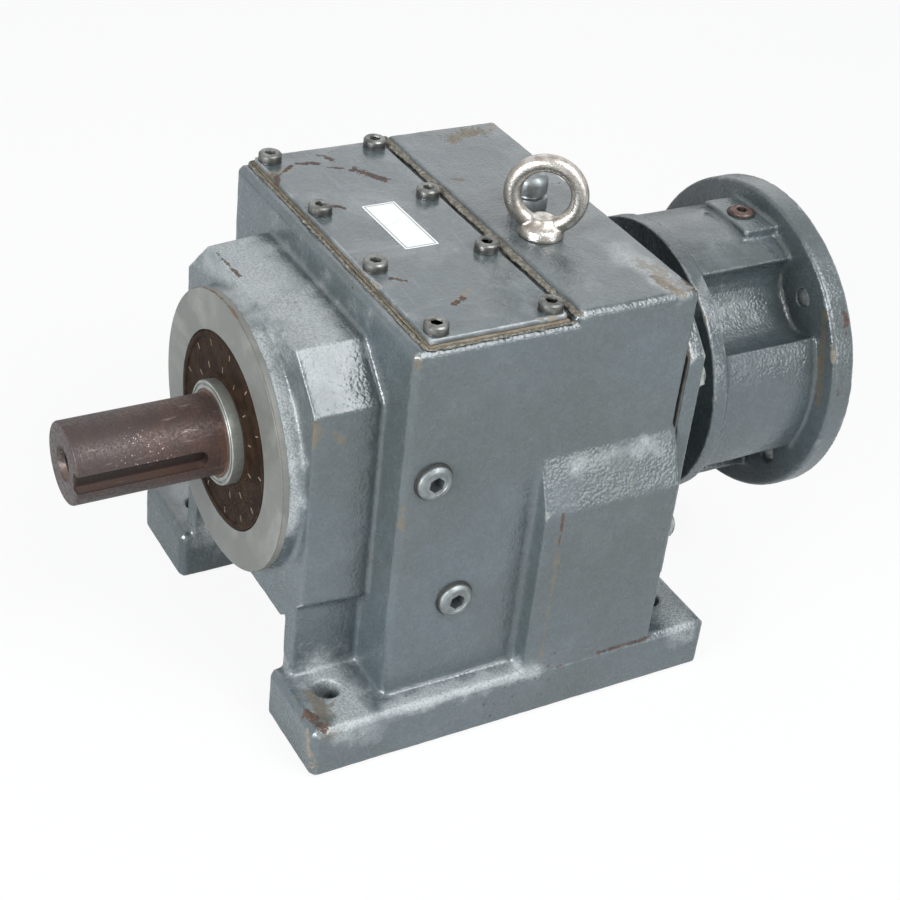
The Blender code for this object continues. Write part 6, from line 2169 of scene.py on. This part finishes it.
@dataclass
class Hub:
    """The coupling hub inside the motor bell."""

    bore: float = 0.0143
    key_width: float = 0.0086
    key_height: float = 0.0160

    def build(self, finish: bpy.types.Material) -> None:
        """Build and dress the hub.

        Args:
            finish: its material.
        """
        low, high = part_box("coupling_hub")
        axis = centre_of("coupling_hub")
        radius = (high[0] - low[0]) / 2
        length = high[1] - low[1]
        mesh = lathe(
            "hub_turned",
            [
                Corner(self.bore, 0.0, 0.0008), Corner(radius, 0.0, 0.0018), Corner(radius, length, 0.0018),
                Corner(radius * 0.74, length, 0.0006), Corner(radius * 0.72, length - 0.0012, 0.0006),
                Corner(radius * 0.58, length - 0.0012, 0.0006), Corner(radius * 0.56, length, 0.0006),
                Corner(self.bore, length, 0.0010),
            ],
            Axis.Y, (axis.x, low[1], axis.z), 96, True,
        )
        piece = link("hub_turned", mesh)
        half = self.key_width / 2
        slot = bmesh.new()
        bmesh.ops.create_cube(slot, size=1.0)
        bmesh.ops.scale(slot, vec=(2 * half, length * 1.4, self.key_height), verts=slot.verts)
        bmesh.ops.translate(slot, vec=(axis.x, low[1] + length / 2, axis.z + self.key_height / 2), verts=slot.verts)
        cutter = bpy.data.meshes.new("hub_keyway")
        slot.to_mesh(cutter)
        slot.free()
        cut_away(piece, [cutter])
        smooth_by_angle(piece.data, 35.0)
        hollow_places(piece.data, 0.002)
        dress(piece, finish, "input", ("coupling_hub",))


@dataclass
class Sticker:
    """The blank white sticker on the cover."""

    centre: tuple[float, float] = (-0.0073, -0.0387)
    half: tuple[float, float] = (0.0306, 0.0120)
    turn: float = math.radians(0.5)
    thickness: float = 0.00018
    corner: float = 0.0010
    lift: float = 0.00012

    def build(self, groups: Groups) -> None:
        """Build and dress the sticker.

        Args:
            groups: the shared node groups.
        """
        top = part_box("top_cover")[1][2]
        shape = bmesh.new()
        outline = []
        for sx, sy, first in ((1, 1, 0.0), (-1, 1, 90.0), (-1, -1, 180.0), (1, -1, 270.0)):
            for step in range(4):
                angle = math.radians(first + 30.0 * step)
                outline.append((
                    sx * (self.half[0] - self.corner) + self.corner * math.cos(angle),
                    sy * (self.half[1] - self.corner) + self.corner * math.sin(angle),
                ))
        face = shape.faces.new([shape.verts.new((x, y, 0.0)) for x, y in outline])
        grown = bmesh.ops.extrude_face_region(shape, geom=[face])
        raised = [item for item in grown["geom"] if isinstance(item, bmesh.types.BMVert)]
        bmesh.ops.translate(shape, verts=raised, vec=(0, 0, self.thickness))
        bmesh.ops.recalc_face_normals(shape, faces=shape.faces)
        mesh = bpy.data.meshes.new("blank_sticker")
        shape.to_mesh(mesh)
        shape.free()
        centre = (self.centre[0], self.centre[1], top + self.lift)
        mesh.transform(Matrix.Translation(centre) @ Matrix.Rotation(self.turn, 4, "Z"))
        film = BlankSticker("sticker_film", centre, self.turn, self.half).build(groups)
        dress(link("blank_sticker", mesh), film, "housing")


@dataclass
class InnerParts:
    """The gears, shafts, bearings, gaskets and rings that keep their CAD solids."""

    gears: tuple[str, ...] = (
        "output_wheel", "intermediate_wheel", "intermediate_pinion_shaft", "input_pinion_shaft",
    )
    bearings: tuple[str, ...] = (
        "output_front_bearing", "output_rear_bearing", "intermediate_front_bearing",
        "intermediate_rear_bearing", "input_front_bearing", "input_rear_bearing",
    )
    rings: tuple[str, ...] = (
        "output_spacer_sleeve", "intermediate_spacer", "input_spacer", "intermediate_circlip",
        "bearing_snap_ring", "output_wheel_key", "intermediate_wheel_key", "hub_key",
    )

    def build(self, frame: dict, groups: Groups) -> None:
        """Give each solid its finish.

        Args:
            frame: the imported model.
            groups: the shared node groups.
        """
        gear = OiledSteel("gear_steel", (0.300, 0.300, 0.310)).build(groups)
        roller = OiledSteel("bearing_steel", (0.520, 0.520, 0.530), gloss=0.12).build(groups)
        plain = OiledSteel("ring_steel", (0.360, 0.355, 0.340), gloss=0.30).build(groups)
        rubber = MattSkin("oil_seal_rubber", (0.040, 0.030, 0.026), (0.060, 0.046, 0.040)).build(groups)
        sealant = MattSkin(
            "cover_sealant", (0.230, 0.185, 0.130), (0.340, 0.290, 0.215), 140.0, 0.80, 0.0004, (0.11, 0.055, 0.03)
        ).build(groups)
        paper = MattSkin("gasket_paper", (0.055, 0.055, 0.050), (0.100, 0.096, 0.085), 120.0).build(groups)
        looks = {node: gear for node in self.gears}
        looks.update({f"{node}_{part}": roller for node in self.bearings for part in ("cup", "cone")})
        looks.update({node: plain for node in self.rings})
        looks.update({"input_shaft_seal": rubber, "cover_gasket": sealant, "adapter_gasket": paper})
        for node, material in looks.items():
            mesh = frame["nodes"][node].data
            mesh.materials.clear()
            mesh.materials.append(material)
        log.info("inner parts: %d solids kept", len(looks))


@dataclass
class Studio:
    """Pale floor, white surroundings, soft lamps and the camera of the photograph."""

    aim: Point = (0.0, -0.0384, 0.170)
    azimuth: float = 57.54
    elevation: float = 33.82
    roll: float = 6.78
    distance: float = 1.253
    side_step: float = 0.04453
    up_step: float = -0.02299
    lens: float = 74.24
    sensor: float = 36.0
    daylight: Colour = (0.94, 0.97, 1.0)
    floor_reach: float = 30.0
    floor_white: float = 0.90
    lamps: tuple[tuple[str, Point, float, float], ...] = (
        ("sky_lamp", (1.47, 0.62, 2.0), 1.6, 50.0), ("back_lamp", (-1.71, 1.05, 1.53), 2.2, 7.0),
        ("front_lamp", (0.80, -2.15, 0.95), 1.2, 66.0), ("low_lamp", (2.3, 1.15, 0.62), 0.9, 9.0),
    )

    def build(self) -> None:
        """Build the camera, the floor, the world and the lamps."""
        self._camera()
        self._floor()
        self._world()
        target = Vector(self.aim)
        for name, place, size, power in self.lamps:
            data = bpy.data.lights.new(name, "AREA")
            data.shape = "DISK"
            data.size = size
            data.energy = power
            data.color = self.daylight
            lamp = bpy.data.objects.new(name, data)
            bpy.context.scene.collection.objects.link(lamp)
            lamp.location = place
            lamp.rotation_euler = (target - Vector(place)).to_track_quat("-Z", "Y").to_euler()
        bpy.context.scene.view_settings.view_transform = "Standard"
        log.info("studio ready")

    def _camera(self) -> None:
        """Place the camera where the photograph was taken from."""
        turn, lift, lean = (math.radians(value) for value in (self.azimuth, self.elevation, self.roll))
        back = Vector((math.sin(turn) * math.cos(lift), -math.cos(turn) * math.cos(lift), math.sin(lift)))
        right = Vector((math.cos(turn), math.sin(turn), 0.0))
        up = back.cross(right)
        across = math.cos(lean) * right + math.sin(lean) * up
        above = math.cos(lean) * up - math.sin(lean) * right
        eye = Vector(self.aim) + self.distance * back + self.side_step * right + self.up_step * up
        data = bpy.data.cameras.new("studio_camera")
        data.lens = self.lens
        data.sensor_width = self.sensor
        data.clip_end = 200.0
        camera = bpy.data.objects.new("studio_camera", data)
        bpy.context.scene.collection.objects.link(camera)
        matrix = Matrix((across, above, back)).transposed().to_4x4()
        matrix.translation = eye
        camera.matrix_world = matrix
        bpy.context.scene.camera = camera

    def _white(self, material_tree: bpy.types.NodeTree, plain: Socket) -> Socket:
        """Return a shader that is white to the camera and to mirrors, and plain to the rest.

        Args:
            material_tree: tree that the nodes go in.
            plain: shader for the other rays.
        """
        graph = Graph(material_tree)
        path = graph.add("ShaderNodeLightPath").outputs
        seen = graph.math("MAXIMUM", path["Is Camera Ray"], path["Is Glossy Ray"])
        seen = graph.math("MAXIMUM", seen, path["Is Transmission Ray"])
        white = graph.add("ShaderNodeBackground", {"Color": (1.0, 1.0, 1.0, 1.0), "Strength": 1.0})
        return graph.add("ShaderNodeMixShader", {0: seen, 1: plain, 2: white.outputs[0]}).outputs[0]

    def _floor(self) -> None:
        """Lay the pale floor."""
        shape = bmesh.new()
        bmesh.ops.create_grid(shape, x_segments=2, y_segments=2, size=self.floor_reach)
        mesh = bpy.data.meshes.new("floor")
        shape.to_mesh(mesh)
        shape.free()
        floor = link("floor", mesh)
        floor.location.z = -0.0004
        material = bpy.data.materials.new("floor_paper")
        material.use_nodes = True
        graph = Graph(material.node_tree)
        surface = material.node_tree.nodes["Principled BSDF"]
        where = graph.add("ShaderNodeTexCoord").outputs["Object"]
        tone = graph.noise(where, 3.0, 2.0)
        graph.feed(surface.inputs["Base Color"], graph.mix(tone, (0.76, 0.76, 0.76), (0.78, 0.78, 0.78)))
        surface.inputs["Roughness"].default_value = 0.9
        seen = graph.math("MULTIPLY", graph.add("ShaderNodeLightPath").outputs["Is Camera Ray"], self.floor_white)
        white = graph.add("ShaderNodeEmission", {"Color": (1.0, 1.0, 1.0, 1.0), "Strength": 1.0})
        both = graph.add("ShaderNodeMixShader", {0: seen, 1: surface.outputs[0], 2: white.outputs[0]})
        leave = material.node_tree.nodes["Material Output"]
        graph.feed(leave.inputs["Surface"], both.outputs[0])
        mesh.materials.append(material)

    def _world(self) -> None:
        """Light the scene evenly and show white behind the object."""
        world = bpy.data.worlds.new("studio")
        bpy.context.scene.world = world
        world.use_nodes = True
        tree = world.node_tree
        tree.nodes.clear()
        graph = Graph(tree)
        plain = graph.add("ShaderNodeBackground", {"Color": (0.93, 0.96, 1.0, 1.0), "Strength": 0.20})
        shown = self._white(tree, plain.outputs[0])
        graph.add("ShaderNodeOutputWorld", {"Surface": shown})


def main(frame: dict) -> None:
    """Build the whole scene.

    Args:
        frame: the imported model.
    """
    logging.basicConfig(level=logging.INFO, format="%(name)s: %(message)s")
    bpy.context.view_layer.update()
    groups = Groups()
    Studio().build()
    Housing().build(frame, groups)
    Adapter().build(frame, groups)
    Plate().build(frame, groups)
    SealantBead().build(groups)
    zinc = PlatedSteel("zinc_plate").build(groups)
    plug_zinc = PlatedSteel("plug_zinc", (0.270, 0.290, 0.290), (0.170, 0.185, 0.185), gloss=0.42, dirt=0.8).build(groups)
    rusty_plug = PlatedSteel(
        "rusty_plug", (0.150, 0.120, 0.110), (0.110, 0.052, 0.036), gloss=0.50, dirt=0.8, spread=0.9
    ).build(groups)
    painted_bolt = CastPaint("bolt_paint", (0.300, 0.320, 0.300), (0.360, 0.370, 0.345), lump=0.0004).build(groups)
    screw_nodes = tuple(f"cover_screw_{number}" for number in range(1, 9))
    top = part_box("top_cover")[1][2] + 0.0003
    screws = FastenerRow(
        "cover_screws", screw_nodes, Axis.Z, 40, 0.0078, 0.0056, 0.0040, 0.0080, 0.0004, 0.0045, 0.0160, 7
    )
    screws.build([Vector((centre_of(node).x, centre_of(node).y, top)) for node in screw_nodes], zinc, "cover_screw_1")
    bolt_nodes = tuple(f"adapter_bolt_{number}" for number in range(1, 7))
    bolts = FastenerRow(
        "plate_bolts", bolt_nodes, Axis.Y, 6, 0.0105, 0.0066, 0.0, 0.0116, 0.0014, 0.0055, 0.0200, 11
    )
    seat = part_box("adapter_bolt_1")[1][1] - 0.0080
    bolts.build([Vector((centre_of(node).x, seat, centre_of(node).z)) for node in bolt_nodes], painted_bolt, "adapter_bolt_1")
    rubber = MattSkin("plug_seal_rubber", (0.016, 0.015, 0.014), (0.034, 0.031, 0.028), 300.0, 0.60, 0.0001).build(groups)
    SocketPlug("oil_level_plug", Axis.X, 0.0120, 0.0050, 0.0055, 0.0068).build(plug_zinc, rubber)
    SocketPlug("oil_drain_plug", Axis.X, 0.0120, 0.0050, 0.0055, 0.0068).build(plug_zinc, rubber)
    SocketPlug("adapter_access_plug", Axis.Z, 0.0090, 0.0030, 0.0042, 0.0068).build(rusty_plug, rubber)
    EyeBolt().build(groups)
    Breather().build(plug_zinc)
    OutputShaft().build(groups)
    SealSet().build(groups)
    Hub().build(zinc)
    Sticker().build(groups)
    InnerParts().build(frame, groups)


if __name__ == "__main__":
    main(frame)
